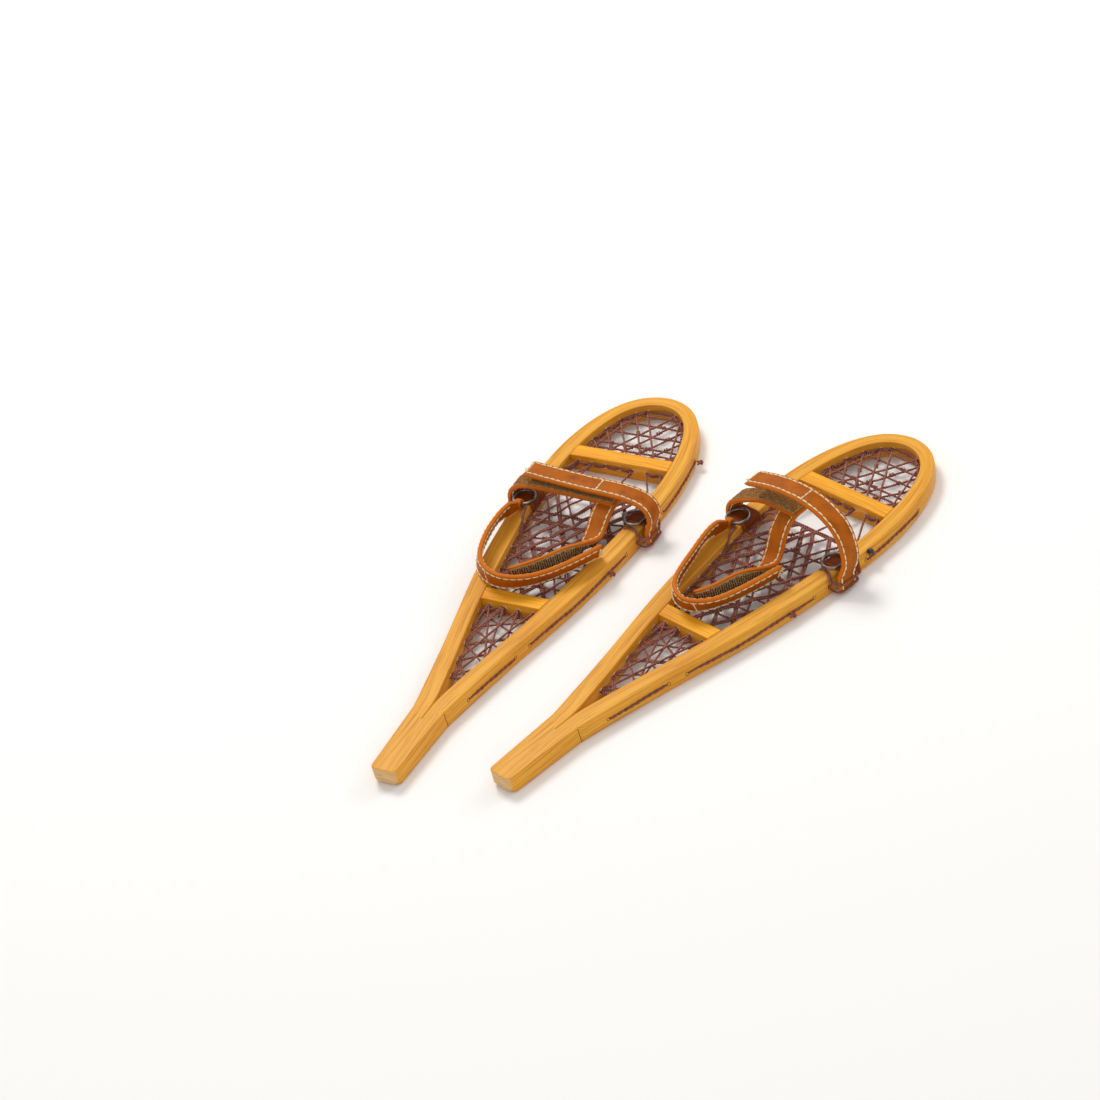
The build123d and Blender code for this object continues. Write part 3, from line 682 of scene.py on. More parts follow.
def toe_net():
    mesh = Mesh()
    far = FRONT_BAR_Y + BAR_WIDTH
    bar = [(x, far + 0.2, WEB_Z + 0.6) for x in FRONT_BAR_HOLES]
    left = [wall_point(y, -1, 0.3) for y in TOE_HOLES]
    right = [wall_point(y, 1, 0.3) for y in TOE_HOLES]
    for near_line, level, crossing in ((bar[1:], 0.55, right[3]), (bar[-2::-1], -0.55, left[3])):
        for start, end in zip(near_line, (left if level > 0 else right) + [crossing]):
            weave(mesh, start, end, level)
    for index in range(4):
        weave(mesh, left[index], right[index], 0.0)
    weave(mesh, (left[0][0] + 2, 284.0, WEB_Z), (right[0][0] - 2, 284.0, WEB_Z), 0.2)
    for side, line in ((-1, left), (1, right)):
        weave(mesh, line[0], bar[0 if side < 0 else 6], 0.2, twice=True)
        for offset, out in ((-0.65, 1.2), (0.65, 1.7)):
            along_wall(mesh, TOE_HOLES, side, out, WEB_Z + offset)
        edge = np.array([wall_point(y, side, 1.5) for y in TOE_HOLES])
        for t in (0.10, 0.36, 0.62, 0.88):
            wrap(mesh, edge, t, reach=4.4)
    for start, end in ((bar[2], left[1]), (bar[3], left[2]), (bar[4], left[3]), (bar[4], right[1]),
                       (bar[3], right[2]), (bar[2], right[3]), (left[0], right[0]), (left[2], right[2])):
        line = np.array([start, end], float)
        for t in (0.28, 0.66):
            wrap(mesh, line, t + rng.uniform(-0.08, 0.08))
    cord(mesh, [left[4], (0, 321.2, WEB_Z + 0.5), right[4]])
    cord(mesh, [left[4], (0, 321.0, WEB_Z - 0.6), right[4]])
    for x0, x1 in zip(FRONT_BAR_HOLES, FRONT_BAR_HOLES[1:]):
        cord(mesh, [(x0, far - 0.8, WEB_Z + 0.6), (x0 + 2, far + 0.8, WEB_Z + 0.4),
                    (x1 - 2, far + 0.8, WEB_Z + 0.5), (x1, far - 0.8, WEB_Z + 0.6)])
    near = FRONT_BAR_Y
    for x0, x1 in zip(FRONT_BAR_HOLES[1:4], FRONT_BAR_HOLES[2:5]):
        for z in (WEB_Z + 0.3, WEB_Z + 1.1):
            cord(mesh, [(x0, near + 0.8, z), (x0 + 1.6, near - 0.9, z + 0.2),
                        ((x0 + x1) / 2, near - 1.0, z - 0.2), (x1 - 1.6, near - 0.9, z),
                        (x1, near + 0.8, z)])
    return mesh


def clipped(point, heading, inside):
    """The stretch of a line that lies inside a window, if it is longer than 6 mm."""
    t = np.arange(-160.0, 160.0, 0.25)
    line = np.array(point) + np.outer(t, heading)
    ok = np.array([inside(x, y) for x, y in line])
    first = int(np.argmax(ok))
    last = first + int(np.argmin(np.append(ok[first:], False))) - 1
    return (line[first], line[last]) if ok.any() and last - first >= 24 else None


def woven(mesh, families, inside):
    """Families of near-parallel cords; each family rides over and under the others."""
    for number, (angle, spacing, start, doubles) in enumerate(families):
        heading = np.array([math.sin(math.radians(angle)), math.cos(math.radians(angle))])
        across = np.array([heading[1], -heading[0]])
        for offset in np.arange(start, 90.0, spacing):
            turn = math.radians(rng.normal(0, 2.2))
            way = np.array([heading[0] * math.cos(turn) - heading[1] * math.sin(turn),
                            heading[0] * math.sin(turn) + heading[1] * math.cos(turn)])
            line = clipped(WEAVE_CENTRE + across * (offset + rng.normal(0, 0.7)), way, inside)
            if line is None:
                continue
            a, b = line
            length = np.linalg.norm(b - a)
            t = np.linspace(0, 1, max(int(length / 3.0), 4))
            wave = np.sin(t * length * math.pi / spacing + number * 1.7)
            rise = (0.75 - 0.75 * number + 0.38 * wave) * np.minimum(1, 5 * np.minimum(t, 1 - t)) + 0.1
            p = np.column_stack([a + (b - a) * t[:, None], WEB_Z + rise])
            cord(mesh, p)
            if rng.random() < doubles:
                cord(mesh, p + np.append(across, 0.0) * rng.choice([-1.0, 1.0]) * 1.35 + (0, 0, 0.1))
            for _ in range(int(length / 24)):
                wrap(mesh, p, rng.uniform(0.2, 0.8))


def wrap(mesh, line, t, reach=3.2):
    """A short coil, two turns, where one cord winds round another."""
    k = t * (len(line) - 1)
    i = int(min(k, len(line) - 2))
    centre = line[i] + (line[i + 1] - line[i]) * (k - i)
    along = unit(line[i + 1] - line[i])
    side = unit(np.cross(along, (0, 0, 1.0)))
    s = np.linspace(-0.5, 0.5, 16)[:, None]
    angle = s * 4 * math.pi
    coil = (centre + along * s * reach + side * np.cos(angle) * 1.0
            + np.cross(side, along) * np.sin(angle) * 0.95)
    cord(mesh, coil, 0.6, wave=0.0)


def center_net():
    mesh = Mesh()
    low, high = REAR_BAR_Y + BAR_WIDTH, 242.5

    def inside(x, y):
        return low <= y <= high and abs(x) < inner_x(min(max(y, 60.0), 300.0)) + 0.3

    woven(mesh, [(31.0, 8.0, -88.0, 0.5), (90.0, 10.2, -37.0, 0.25), (-33.0, 8.6, -86.0, 0.5)], inside)
    ends = [np.array(wall_point(CENTER_HOLES[-1], side, 0.3)) for side in (-1, 1)]
    for offset in (0.0, 1.3):
        weave(mesh, ends[0] + (0, offset, 0), ends[1] + (0, offset, 0), 0.1)
    near = FRONT_BAR_Y - 0.2
    for side in (-1, 1):
        along_wall(mesh, CENTER_HOLES, side, 0.8, WEB_Z + 0.4)
        along_wall(mesh, CENTER_HOLES, side, 1.3, WEB_Z - 0.5, dip=0.2)
        corner = [np.array(wall_point(y, side, 0.3)) for y in CORNER_HOLES]
        outer_hole = np.array((side * 27.0, near, WEB_Z + 0.5))
        inner_hole = np.array((side * 18.0, near, WEB_Z + 0.5))
        for k in range(4):
            shift = np.array([0.0, -0.5 * k, 0.9 - 0.7 * k])
            cord(mesh, [outer_hole + shift * (0.3, 0.1, 1), corner[1] + shift])
            cord(mesh, [corner[1] + shift, corner[0] + shift * 0.5])
        for k in range(2):
            cord(mesh, [outer_hole + (0, 0, 0.5 * k), (side * 22.5, near - 1.6, WEB_Z + 0.2 + k),
                        inner_hole + (0, 0, 0.4 * k)])
        cord(mesh, [inner_hole, corner[0]])
    for line in ([(-18.0, near, WEB_Z + 0.5), (-21.5, 255.0, WEB_Z - 0.3), (-25.4, 241.6, WEB_Z)],
                 [(9.0, near, WEB_Z + 0.5), (6.2, 254.0, WEB_Z - 0.3), (3.1, 241.6, WEB_Z)]):
        cord(mesh, line)
        wrap(mesh, np.array(line), 0.12)
    return mesh


def tail_net():
    mesh = Mesh()
    near = REAR_BAR_Y
    left = [wall_point(y, -1, 0.3) for y in TAIL_HOLES]
    right = [wall_point(y, 1, 0.3) for y in TAIL_HOLES]
    bar = [(x, near - 0.2, WEB_Z + 1.0) for x in REAR_BAR_HOLES]
    for k in range(4):
        weave(mesh, bar[k], left[3 - k], 0.3, twice=k == 1)
        weave(mesh, bar[k], right[max(k, 1)], -0.35)
    for x in REAR_BAR_HOLES:
        cord(mesh, [(x, near + 0.6, WEB_Z + 0.6), (x + 0.9, near - 0.9, WEB_Z - 0.2),
                    (x + 0.4, near - 1.2, WEB_Z - 2.2), (x - 0.6, near - 6.0, WEB_Z - 1.0)])
    for x0, x1 in zip(REAR_BAR_HOLES, REAR_BAR_HOLES[1:]):
        cord(mesh, [(x0, near - 0.9, WEB_Z - 1.2), ((x0 + x1) / 2, near - 2.2, WEB_Z - 1.6),
                    (x1, near - 0.9, WEB_Z - 1.2)])
    corner = [(x, near - 0.5, WEB_Z + 0.8) for x in (REAR_BAR_HOLES[0], REAR_BAR_HOLES[3])]
    for start, end, level in ((left[4], corner[0], 0.2), (left[4], bar[1], 0.4),
                              (right[4], corner[1], 0.2), (left[4], right[3], -0.2),
                              (left[3], right[4], 0.25), (left[3], right[2], 0.35)):
        weave(mesh, start, end, level)
    for start, end, level, twice in ((2, 3, -0.3, True), (2, 1, 0.3, False), (1, 2, -0.3, False),
                                     (1, 0, 0.3, True), (0, 1, -0.2, False), (0, 0, 0.2, True)):
        weave(mesh, left[start], right[end], level, twice)
    along_wall(mesh, TAIL_HOLES, 1, 0.8, WEB_Z + 0.3)
    for y0, y1 in zip(TAIL_HOLES, TAIL_HOLES[1:]):
        cord(mesh, [wall_point(y0, -1, -0.8), wall_point(y0 + 3.5, -1, 1.6, WEB_Z + 0.3),
                    wall_point(y1 - 3.0, -1, 1.9, WEB_Z - 0.4), wall_point(y1, -1, -0.8)])
    return mesh


def outside_runs(mesh, side):
    """Twine along the outside of a rail: two strands laid close to the wood and wound together."""
    for start, end in OUTSIDE_RUNS:
        count = int((end - start) / 1.4)
        phase = rng.random() * 6.28
        for strand in (0, 1):
            points = [wall_point(start, side, -0.8, RUN_Z, False)]
            for t in np.arange(1, count) / count:
                y = start + (end - start) * t
                swell = min(1.0, 6 * min(t, 1 - t))
                angle = 2 * math.pi * (y / 7.5) + math.pi * strand + phase
                out = 0.42 + 0.16 * math.sin(y / 2.3 + phase) + 0.34 * math.sin(angle) * swell
                z = RUN_Z + 0.35 * math.sin(y / 9.0 + phase) + 0.5 * math.cos(angle) * swell
                points.append(wall_point(y, side, out, z, False))
            cord(mesh, points + [wall_point(end, side, -0.8, RUN_Z, False)], 0.62, wave=0.04)


def knot(mesh, centre):
    t = np.linspace(0, 2 * math.pi, 90)
    p = np.stack([np.sin(t) + 2 * np.sin(2 * t), np.cos(t) - 2 * np.cos(2 * t), -1.4 * np.sin(3 * t)], 1)
    tube(mesh, np.array(centre) + p * 0.52, 0.6, sides=9, lobes=3)


def melted_end(mesh, centre):
    """A cord's end melted into a small, dark, shiny bead."""
    t = np.linspace(0, 1, 13)
    line = np.array(centre) + np.stack([4.0 * t - 2.3, 0 * t, 0.9 * t], 1)
    radius = np.sqrt(np.maximum(1 - (2 * t - 1) ** 2, 0.01)) * (1.75 + 0.15 * np.sin(9 * t))
    tube(mesh, line, radius, sides=12, mat=1)


KNOTS = {"left": [(40.4, 183.8, RUN_Z), (42.6, 286.5, 5.0)],
         "right": [(40.4, 183.8, RUN_Z), (45.0, 243.0, 8.6)]}
MELTED_END = (44.6, 243.0, 9.4)


def lashing(shoe, side):
    """Two turns round a strap's foot, and the cord that leads on from them."""
    mesh = Mesh()
    foot = 220.5 if side > 0 else (228.0 if shoe == "left" else 230.0)
    for z, slope in ((3.0, 0.0), (6.4, 1.2)):
        turn = [(42.0, 9.2, RUN_Z + 0.2), (44.4, 8.2, z), (47.6, 7.0, z), (48.4, 6.2, z), (48.6, 4.5, z),
                (48.65, 0.0, z + slope / 2), (48.6, -4.5, z + slope), (48.4, -6.2, z + slope),
                (47.6, -7.0, z + slope), (44.0, -8.2, z + slope), (41.4, -9.2, RUN_Z + 0.2)]
        cord(mesh, [(side * x, foot + y, h) for x, y, h in turn])
    for k in range(2):
        if side > 0:
            cord(mesh, [(48.2, foot - 5.6, 6.8 + k), (47.2, foot - 7.2, 7.4 + k), (44.6, foot - 7.9 - k, 9.2),
                        (42.6, foot - 7.2 - k, 11.3), (40.4, 214.6 - k, 11.8), (36.6, 216.4 - k, 11.8),
                        (33.2, 216.6 - k, 11.6), (30.9, 215.2 - k, 9.0), (29.4, 211.0, 6.4)])
        else:
            cord(mesh, [(-27.6 - 0.2 * k, 198.5, 6.2), (-28.6, 203.5 + k, 8.6),
                        (-30.2 - k * 0.4, 208.5, 11.2), (-31.6 - k * 0.8, 213.0, 12.0),
                        (-33.2 - k, 216.6, 13.6), (-34.4 - k, 216.8, 15.6), (-34.6 - k, 215.0, 14.6)])
    return mesh


def build_lacing(shoe):
    def build(mesh, name, replaced, *others):
        mesh.build(shoe, name, "shoe", "twine", [TWINE, *others], [replaced], sharp=180)

    build(toe_net(), "toe_net", "toe_lacing")
    center = center_net()
    outside_runs(center, -1)
    outside_runs(center, 1)
    build(center, "center_net", "center_lacing")
    build(tail_net(), "tail_net", "tail_lacing")
    knots = Mesh()
    for centre in KNOTS[shoe]:
        knot(knots, centre)
    if shoe == "right":
        melted_end(knots, MELTED_END)
    build(knots, "twine_knots", "lacing_knots", MELTED)
    for side, name in ((-1, "left"), (1, "right")):
        build(lashing(shoe, side), f"lashing_{name}_twine", f"lashing_{name}")


# --- Straps ------------------------------------------------------------------------------
# A strap is a line of stations: a point of its centre line, and the way its width runs there.
ACROSS = (0.0, 1.0, 0.0)
FLAT = (1.0, 0.0, 0.0)
ON_EDGE = (0.0, 0.0, 1.0)
TOE_STRAP = {
    "left": [(46.6, 220.5, 1.3), (46.6, 220.5, 5.0), (46.6, 220.6, 10.0), (48.6, 222.5, 16.0),
             (46.6, 224.5, 22.6), (39.0, 226.0, 26.2), (26.0, 227.0, 27.7), (3.5, 228.0, 28.1),
             (-15.0, 229.0, 28.6), (-34.0, 230.0, 29.6)],
    "right": [(46.6, 220.5, 1.3), (46.6, 220.5, 5.0), (46.6, 220.6, 10.0), (48.0, 223.0, 15.5),
              (48.0, 225.0, 26.0), (43.8, 226.5, 35.5), (33.5, 227.5, 44.0), (17.0, 228.0, 48.6),
              (-1.0, 228.0, 48.2), (-24.3, 229.0, 42.0)],
}
LOOP_STRAP_ARCH = {
    "left": [(-46.2, 228.0, 1.3), (-46.9, 228.0, 10.0), (-45.6, 228.0, 15.5), (-41.0, 228.0, 20.2),
             (-30.0, 228.0, 22.6), (0.0, 228.0, 21.7), (12.0, 228.0, 21.0), (24.3, 228.0, 20.2)],
    "right": [(-46.2, 230.0, 1.3), (-46.9, 230.0, 11.0), (-43.6, 230.0, 18.6), (-33.7, 230.0, 25.0),
              (-22.7, 230.0, 30.1), (-9.9, 230.0, 33.0), (0.0, 230.0, 33.0), (9.8, 230.0, 32.4)],
}
TONGUE = {
    "left": [((18.0, 234.3, 19.0), (1.0, 0.0, -0.065)), ((18.0, 222.5, 18.8), (1.0, 0.0, -0.065)),
             ((18.3, 213.0, 15.8), FLAT), ((18.8, 204.0, 11.8), (1.0, -0.1, 0.15)),
             ((18.2, 194.5, 12.4), (0.7, -0.2, 0.7)), ((13.4, 182.5, 13.6), ON_EDGE),
             ((4.5, 171.5, 13.6), ON_EDGE), ((-9.5, 158.2, 13.6), ON_EDGE)],
    "right": [((3.5, 236.3, 31.2), FLAT), ((3.5, 224.0, 30.6), FLAT), ((4.0, 214.5, 23.0), FLAT),
              ((5.0, 205.5, 12.6), (1.0, -0.1, 0.15)), ((6.0, 196.0, 12.4), (0.7, -0.2, 0.7)),
              ((4.0, 184.0, 13.6), ON_EDGE), ((-0.5, 170.5, 13.6), ON_EDGE), ((-6.8, 157.8, 13.6), ON_EDGE)],
}
HEEL_START_Y = RING_Y - RING_RADIUS - 2.2
HEEL_PATH = {
    "left": [(-36.2, HEEL_START_Y), (-38.4, 203.0), (-38.3, 186.0), (-34.2, 169.0), (-25.2, 155.5),
             (-8.0, 149.3), (6.0, 154.2), (18.0, 165.0), (33.6, 188.5)],
    "right": [(-36.2, HEEL_START_Y), (-36.8, 203.0), (-32.0, 184.0), (-25.8, 166.0), (-16.5, 153.0),
              (-3.0, 150.0), (6.5, 157.0), (13.0, 169.5), (20.4, 198.0)],
}
HEEL_Z, HEEL_UPWARD, HEEL_END_WIDTH = 17.7, (0.45, -0.22, 0.865), 5.6


def heel_stations(path):
    """The strap stands on its edge; its band as a whole leans towards the free end."""
    upward = np.array(HEEL_UPWARD)
    ends = [path[0]] + path + [path[-1]]
    stations = [((*path[0], RING_Z), ON_EDGE)]
    for before, (x, y), after in list(zip(ends, path, ends[2:]))[1:]:
        along = np.append(unit(np.subtract(after, before)), 0.0)
        stations.append(((x, y, HEEL_Z), unit(upward - along * upward.dot(along))))
    return stations


class Strap:
    """A strap's centre line with its frames: t along, w across the width, n out of the face."""

    def __init__(self, stations, flip=False, step=1.2):
        line = spline([(*point, *width) for point, width in stations], 400)
        travelled = lengths(line[:, :3])
        self.length = travelled[-1]
        self.s = np.linspace(0, self.length, max(int(self.length / step), 8) + 1)
        self.p = sample(line[:, :3], travelled, self.s)
        self.t = tangents(self.p)
        w = sample(line[:, 3:], travelled, self.s)
        self.w = unit(w - self.t * np.sum(w * self.t, 1)[:, None])
        self.n = np.cross(self.t, self.w) * (-1 if flip else 1)
        self.scale = np.ones(len(self.s))

    def at(self, s, across, out):
        """Point at arc length s, 'across' mm along the width, 'out' mm out of the face."""
        centre, w, n = (sample(values, self.s, s) for values in (self.p, self.w, self.n))
        return centre + unit(w) * across * np.interp(s, self.s, self.scale) + unit(n) * out

    def nearest(self, s):
        return int(np.argmin(np.abs(self.s - s)))

    def s_near(self, axis, value):
        return self.s[int(np.argmin(np.abs(self.p[:, axis] - value)))]


def leather_section(width, thickness):
    """Rolled edges, a shallow groove under each stitch row and a slight crown between them."""
    half, t = width / 2, thickness / 2
    groove = half - 1.75
    rise = [(-half, 0.0), (-half + 0.12, t * 0.55), (-half + 0.45, t * 0.88), (-half + 1.0, t),
            (-groove - 0.35, t - 0.04), (-groove, t - 0.26), (-groove + 0.35, t - 0.06),
            (-groove * 0.5, t + 0.05)]
    upper = rise + [(0.0, t + 0.08)] + [(-w, h) for w, h in rise[::-1]]
    return upper + [(w, -h) for w, h in upper[-2:0:-1]]


def strap_body(mesh, strap, width=STRAP_WIDTH, thickness=STRAP_THICKNESS, uneven=0.12):
    section = leather_section(width, thickness)
    columns, count = len(section), len(strap.s)
    rows = []
    phase = rng.random(4) * 6.28
    for i, s in enumerate(strap.s):
        close = (0.35, 0.8, 1.0)[min(i, count - 1 - i, 2)]
        wobble = uneven * (math.sin(s / 7.0 + phase[0]) + 0.6 * math.sin(s / 2.9 + phase[1]))
        for w, h in section:
            across = w + 0.5 * wobble * (1 if w > 0 else -1) * (abs(w) / (width / 2)) ** 2
            rows.append(strap.p[i] + strap.w[i] * across * strap.scale[i] + strap.n[i] * h * close)
    uvs = grid_uvs(strap.s * MM, [w * MM for w, h in section + section[:1]])
    mesh.add(rows, solid_faces(count, columns), uvs + [[BURNISHED] * columns] * 2)


def stitch(mesh, a, b, out):
    """One stitch: a short thread that dives into the leather at both ends."""
    arch = np.sin(math.pi * np.linspace(0, 1, 6))
    p = a + np.outer(np.linspace(0, 1, 6), b - a) + np.outer(np.abs(arch) ** 0.6 * 0.30 - 0.10, out)
    tube(mesh, p, 0.48 * (0.75 + 0.25 * arch), sides=6, mat=1)


def stitch_row(mesh, strap, across, face, start=2.0, pitch=3.9, thickness=STRAP_THICKNESS):
    out = face * (thickness / 2 - 0.12)
    s = start
    while s + pitch * 0.75 < strap.length - 2.0:
        jitter = rng.normal(0, 0.10, 2)
        a = strap.at(s, across + jitter[0], out)
        b = strap.at(s + pitch * 0.84, across + jitter[1], out)
        stitch(mesh, a, b, strap.n[strap.nearest(s)] * face)
        s += pitch


def stitch_edges(mesh, strap, start=2.0):
    for across in (-STITCH_ROW, STITCH_ROW):
        stitch_row(mesh, strap, across, 1, start)
        stitch_row(mesh, strap, across, -1, start)


def cross_stitch(mesh, strap, s):
    out = STRAP_THICKNESS / 2 - 0.05
    for across in (-4.4, -1.4, 1.6):
        a, b = strap.at(s, across, out), strap.at(s + 0.2, across + 2.58, out)
        stitch(mesh, a, b, strap.n[strap.nearest(s)])


def fray(mesh, strap, s, count):
    """Loose thread ends at a strap's tip."""
    k = strap.nearest(s)
    for _ in range(count):
        start = strap.at(s, rng.uniform(-4.5, 4.5), STRAP_THICKNESS / 2 - 0.2)
        drift = (strap.t[k] * rng.uniform(0.6, 2.2) + strap.w[k] * rng.uniform(-1.6, 1.6)
                 + strap.n[k] * rng.uniform(0.3, 1.4))
        bend = strap.w[k] * rng.uniform(-1, 1)
        p = spline([start, start + drift * 0.5 + bend * 0.4, start + drift + bend], 7)
        tube(mesh, p, 0.17, sides=5, mat=1)


def tape(strap, face, s0, s1, width=TAPE_WIDTH):
    """Hook-and-loop tape on a strap's face: a woven base and rows of short tufts."""
    mesh = Mesh()
    way = slice(None, None, face)
    samples = np.linspace(s0, s1, max(int((s1 - s0) / 1.6), 4))
    low = STRAP_THICKNESS / 2 - 0.05
    top = low + 0.45
    section = [(-width / 2, low), (-width / 2 + 0.2, top), (width / 2 - 0.2, top), (width / 2, low)]
    rows = [strap.at(s, w, face * h) for s in samples for w, h in section]
    mesh.add(rows, [f[way] for f in solid_faces(len(samples), len(section))])
    tuft = [(0, 1, 5, 4), (1, 2, 6, 5), (2, 3, 7, 6), (3, 0, 4, 7),
            (4, 5, 8), (5, 6, 8), (6, 7, 8), (7, 4, 8)]
    s = s0 + 0.4
    row = 0
    while s < s1 - 0.3:
        k = strap.nearest(s)
        t, w, n = strap.t[k], strap.w[k], strap.n[k]
        across = -width / 2 + 0.5
        while across < width / 2 - 0.4:
            foot = strap.at(s + rng.normal(0, 0.12), across + rng.normal(0, 0.15), face * (top - 0.05))
            lean = unit(t * rng.normal(0, 0.22) + w * rng.normal(0, 0.22) + n * face)
            tall = rng.uniform(0.35, 0.66)
            r = rng.uniform(0.34, 0.52)
            corners = np.array([t, w, -t, -w]) * r
            middle = foot + lean * tall * 0.55
            verts = [*(foot + corners), *(middle + corners * 0.8), foot + lean * tall]
            mesh.add(verts, [f[way] for f in tuft], None, 1 + row % 2)
            across += 0.85
        row += 1
        s += 0.65
    return mesh


def finish_strap(mesh, shoe, name, body, replaces):
    hide = DARK_LEATHER if "keeper" in name else LEATHER
    return mesh.build(shoe, name, body, "leather", [hide, THREAD], replaces, sharp=50)


def build_toe_strap(shoe):
    strap = Strap([(point, ACROSS) for point in TOE_STRAP[shoe]], flip=True)
    mesh = Mesh()
    strap_body(mesh, strap)
    stitch_edges(mesh, strap)
    cross_at = strap.s_near(0, 14.0 if shoe == "left" else 19.0)
    cross_stitch(mesh, strap, cross_at)
    cross_stitch(mesh, strap, strap.length - 1.6)
    fray(mesh, strap, strap.length - 1.0, 5)
    obj = finish_strap(mesh, shoe, "toe_strap_leather", None, ["toe_strap", "toe_strap_foot"])
    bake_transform(obj)
    tape(strap, -1, cross_at + 1.0, strap.length - 0.8).build(
        shoe, "toe_strap_hook_tape", "toe_strap", "hook_tape", HOOK_TAPE, ["toe_strap_hook"])


def build_loop_strap(shoe):
    arch = Strap([(point, ACROSS) for point in LOOP_STRAP_ARCH[shoe]])
    tongue = Strap(TONGUE[shoe])
    mesh = Mesh()
    for strap in (arch, tongue):
        strap_body(mesh, strap)
        stitch_edges(mesh, strap)
    finish_strap(mesh, shoe, "loop_strap_leather", "shoe", ["loop_strap"])
    tape(arch, 1, arch.s_near(0, -40.0), arch.length - 1.0).build(
        shoe, "loop_tape_pile", "shoe", "loop_tape", [TAPE_BASE, TAPE_BROWN, TAPE_BASE], ["loop_tape"])
    tape(tongue, -1, tongue.s_near(1, 213.0), tongue.length - 0.6).build(
        shoe, "tongue_pile", "shoe", "loop_tape", HOOK_TAPE, ["tongue_tape"])


def build_heel_strap(shoe):
    strap = Strap(heel_stations(HEEL_PATH[shoe]))
    near = np.clip(strap.s / 11.0, 0, 1)
    widening = near * near * (3 - 2 * near)
    strap.scale = (HEEL_END_WIDTH + (STRAP_WIDTH - HEEL_END_WIDTH) * widening) / STRAP_WIDTH
    mesh = Mesh()
    strap_body(mesh, strap)
    stitch_edges(mesh, strap, 9.0)
    cross_stitch(mesh, strap, strap.s_near(1, 151.5))
    cross_stitch(mesh, strap, strap.length - 1.8)
    fray(mesh, strap, strap.length - 1.2, 8)
    # the narrow end turns back round the ring's wire
    centre = np.array([-RING_X, RING_Y - RING_RADIUS, RING_Z])
    band = [(-2.0, 0.0), (-1.8, 0.5), (-1.2, 0.68), (1.2, 0.68), (1.8, 0.5), (2.0, 0.0), (1.8, -0.5),
            (1.2, -0.66), (-1.2, -0.66), (-1.8, -0.5)]
    rows = [centre + np.array([w, math.cos(a) * (2.2 + h), math.sin(a) * (2.2 + h)])
            for a in np.linspace(0, 2 * math.pi, 29) for w, h in band]
    faces = [f[::-1] for f in grid_faces(29, len(band))]
    mesh.add(rows, faces, [[BURNISHED] * 4] * len(faces))
    finish_strap(mesh, shoe, "heel_strap_leather", "heel_strap", ["heel_strap"])
    start = strap.length * (0.70 if shoe == "left" else 0.72)
    tape(strap, -1, start, strap.length - 0.8, 10.2).build(
        shoe, "heel_strap_hook_tape", "heel_strap", "hook_tape", HOOK_TAPE, ["heel_strap_hook"])


def build_keeper(shoe, side, name):
    """Leather saddle over the rail, 14.5 mm wide, stitched along both edges."""
    y = (219.5 + 234.0) / 2
    x_in, x_out = 30.55, 43.85
    path = [(x_in, 7.3), (x_in, 9.6), (x_in + 0.35, 11.2), (x_in + 1.7, 11.85), (37.0, 11.9),
            (x_out - 1.7, 11.85), (x_out - 0.35, 11.2), (x_out, 9.6), (x_out, 5.5), (x_out, 1.3)]
    strap = Strap([((side * x, y, z), ACROSS) for x, z in path], flip=side > 0, step=0.8)
    mesh = Mesh()
    strap_body(mesh, strap, 14.4, 1.5, 0.05)
    for across in (-5.6, 5.6):
        stitch_row(mesh, strap, across, 1, start=1.5, pitch=3.4, thickness=1.5)
    finish_strap(mesh, shoe, f"keeper_{name}_leather", "shoe", [f"keeper_{name}"])


def build_ring(shoe, side, name, body):
    n, sides = 72, 14
    a, b = circle(n), circle(sides)
    # the wire's two ends meet in a small weld
    wire = 0.85 + 0.10 * np.exp(-((a - math.pi * 0.5) / 0.10) ** 2)
    reach = RING_RADIUS + np.outer(wire, np.cos(b))
    verts = np.stack([side * RING_X + reach * np.cos(a)[:, None], RING_Y + reach * np.sin(a)[:, None],
                      RING_Z + np.outer(wire, np.sin(b))], -1)
    faces = []
    uvs = []
    for i in range(n):
        u = (i * 0.55 * MM, (i + 1) * 0.55 * MM)
        for j in range(sides):
            k, m = (i + 1) % n, (j + 1) % sides
            v = (j / sides * 0.005, (j + 1) / sides * 0.005)
            faces.append((i * sides + j, k * sides + j, k * sides + m, i * sides + m))
            uvs.append([(u[0], v[0]), (u[1], v[0]), (u[1], v[1]), (u[0], v[1])])
    mesh = Mesh()
    mesh.add(verts, faces, uvs)
    mesh.build(shoe, f"ring_{name}_wire", body, "ring_steel", [STEEL], [f"ring_{name}"], sharp=60)


for shoe in YAW:
    build_wood(shoe)
    build_lacing(shoe)
    build_toe_strap(shoe)
    build_loop_strap(shoe)
    build_heel_strap(shoe)
    build_keeper(shoe, -1, "left")
    build_keeper(shoe, 1, "right")
    build_ring(shoe, -1, "left", "shoe")
    build_ring(shoe, 1, "right", "loose_ring")


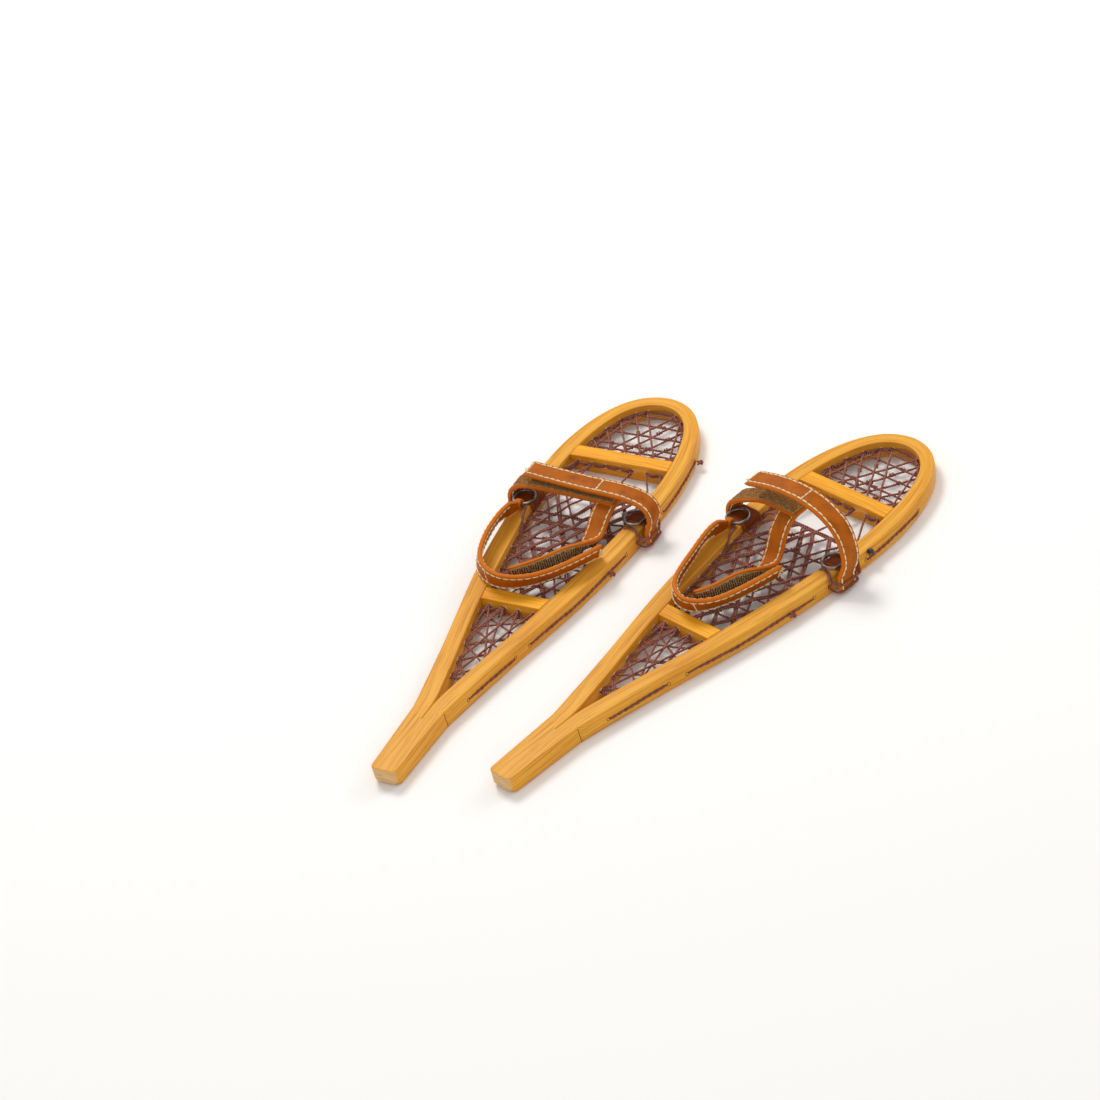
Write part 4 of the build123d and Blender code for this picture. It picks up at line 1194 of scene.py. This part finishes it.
# --- Floor, light and camera -------------------------------------------------------------
floor_mesh = bpy.data.meshes.new("floor")
size = 6.0
corners = [(-size, -size, 0), (size, -size, 0), (size, size, 0), (-size, size, 0)]
floor_mesh.from_pydata(corners, [], [(0, 1, 2, 3)])
floor = bpy.data.objects.new("floor", floor_mesh)
bpy.context.scene.collection.objects.link(floor)
pale = Nodes("pale_floor")
pale.surface(linear((246, 245, 243)), 0.9)
floor_mesh.materials.append(pale.material)


def area_light(name, location, target, size, power, colour=(1, 1, 1)):
    light = bpy.data.lights.new(name, "AREA")
    light.shape = "DISK"
    light.size = size
    light.energy = power
    light.color = colour
    obj = bpy.data.objects.new(name, light)
    obj.location = location
    obj.rotation_euler = (Vector(target) - Vector(location)).to_track_quat("-Z", "Y").to_euler()
    bpy.context.scene.collection.objects.link(obj)
    return obj


area_light("key", (-0.9, 0.5, 1.5), (0, 0, 0), 0.7, 17.0, (1.0, 0.98, 0.95))
area_light("fill", (1.4, -1.2, 1.0), (0, 0, 0), 1.4, 5.5, (1.0, 0.99, 0.97))
area_light("back", (0.6, 1.6, 1.1), (0, 0, 0), 1.0, 7.0, (0.97, 0.98, 1.0))
world = bpy.data.worlds.new("studio")
world.use_nodes = True
world.node_tree.nodes["Background"].inputs[0].default_value = (1.0, 1.0, 1.0, 1.0)
world.node_tree.nodes["Background"].inputs[1].default_value = 0.6
bpy.context.scene.world = world
bpy.context.scene.view_settings.view_transform = "Standard"

# The camera looks down on the pair from beyond the right shoe's tail.
CAMERA_FROM_LEFT_TAIL = (1068.7, -1167.6, 1338.2)
CAMERA_RIGHT = (0.8554, 0.477, -0.2021)
CAMERA_UP = (-0.165, 0.6206, 0.7665)
camera_data = bpy.data.cameras.new("camera")
camera_data.sensor_width = 36.0
camera_data.lens = 127.6
camera_data.clip_start = 0.05
camera_data.clip_end = 30.0
camera = bpy.data.objects.new("camera", camera_data)
x_axis = direction("left", CAMERA_RIGHT)
y_axis = direction("left", CAMERA_UP)
z_axis = x_axis.cross(y_axis).normalized()
y_axis = z_axis.cross(x_axis).normalized()
basis = Matrix((x_axis, y_axis, z_axis)).transposed().to_4x4()
camera.matrix_world = Matrix.Translation(to_world("left", CAMERA_FROM_LEFT_TAIL)) @ basis
bpy.context.scene.collection.objects.link(camera)
bpy.context.scene.camera = camera
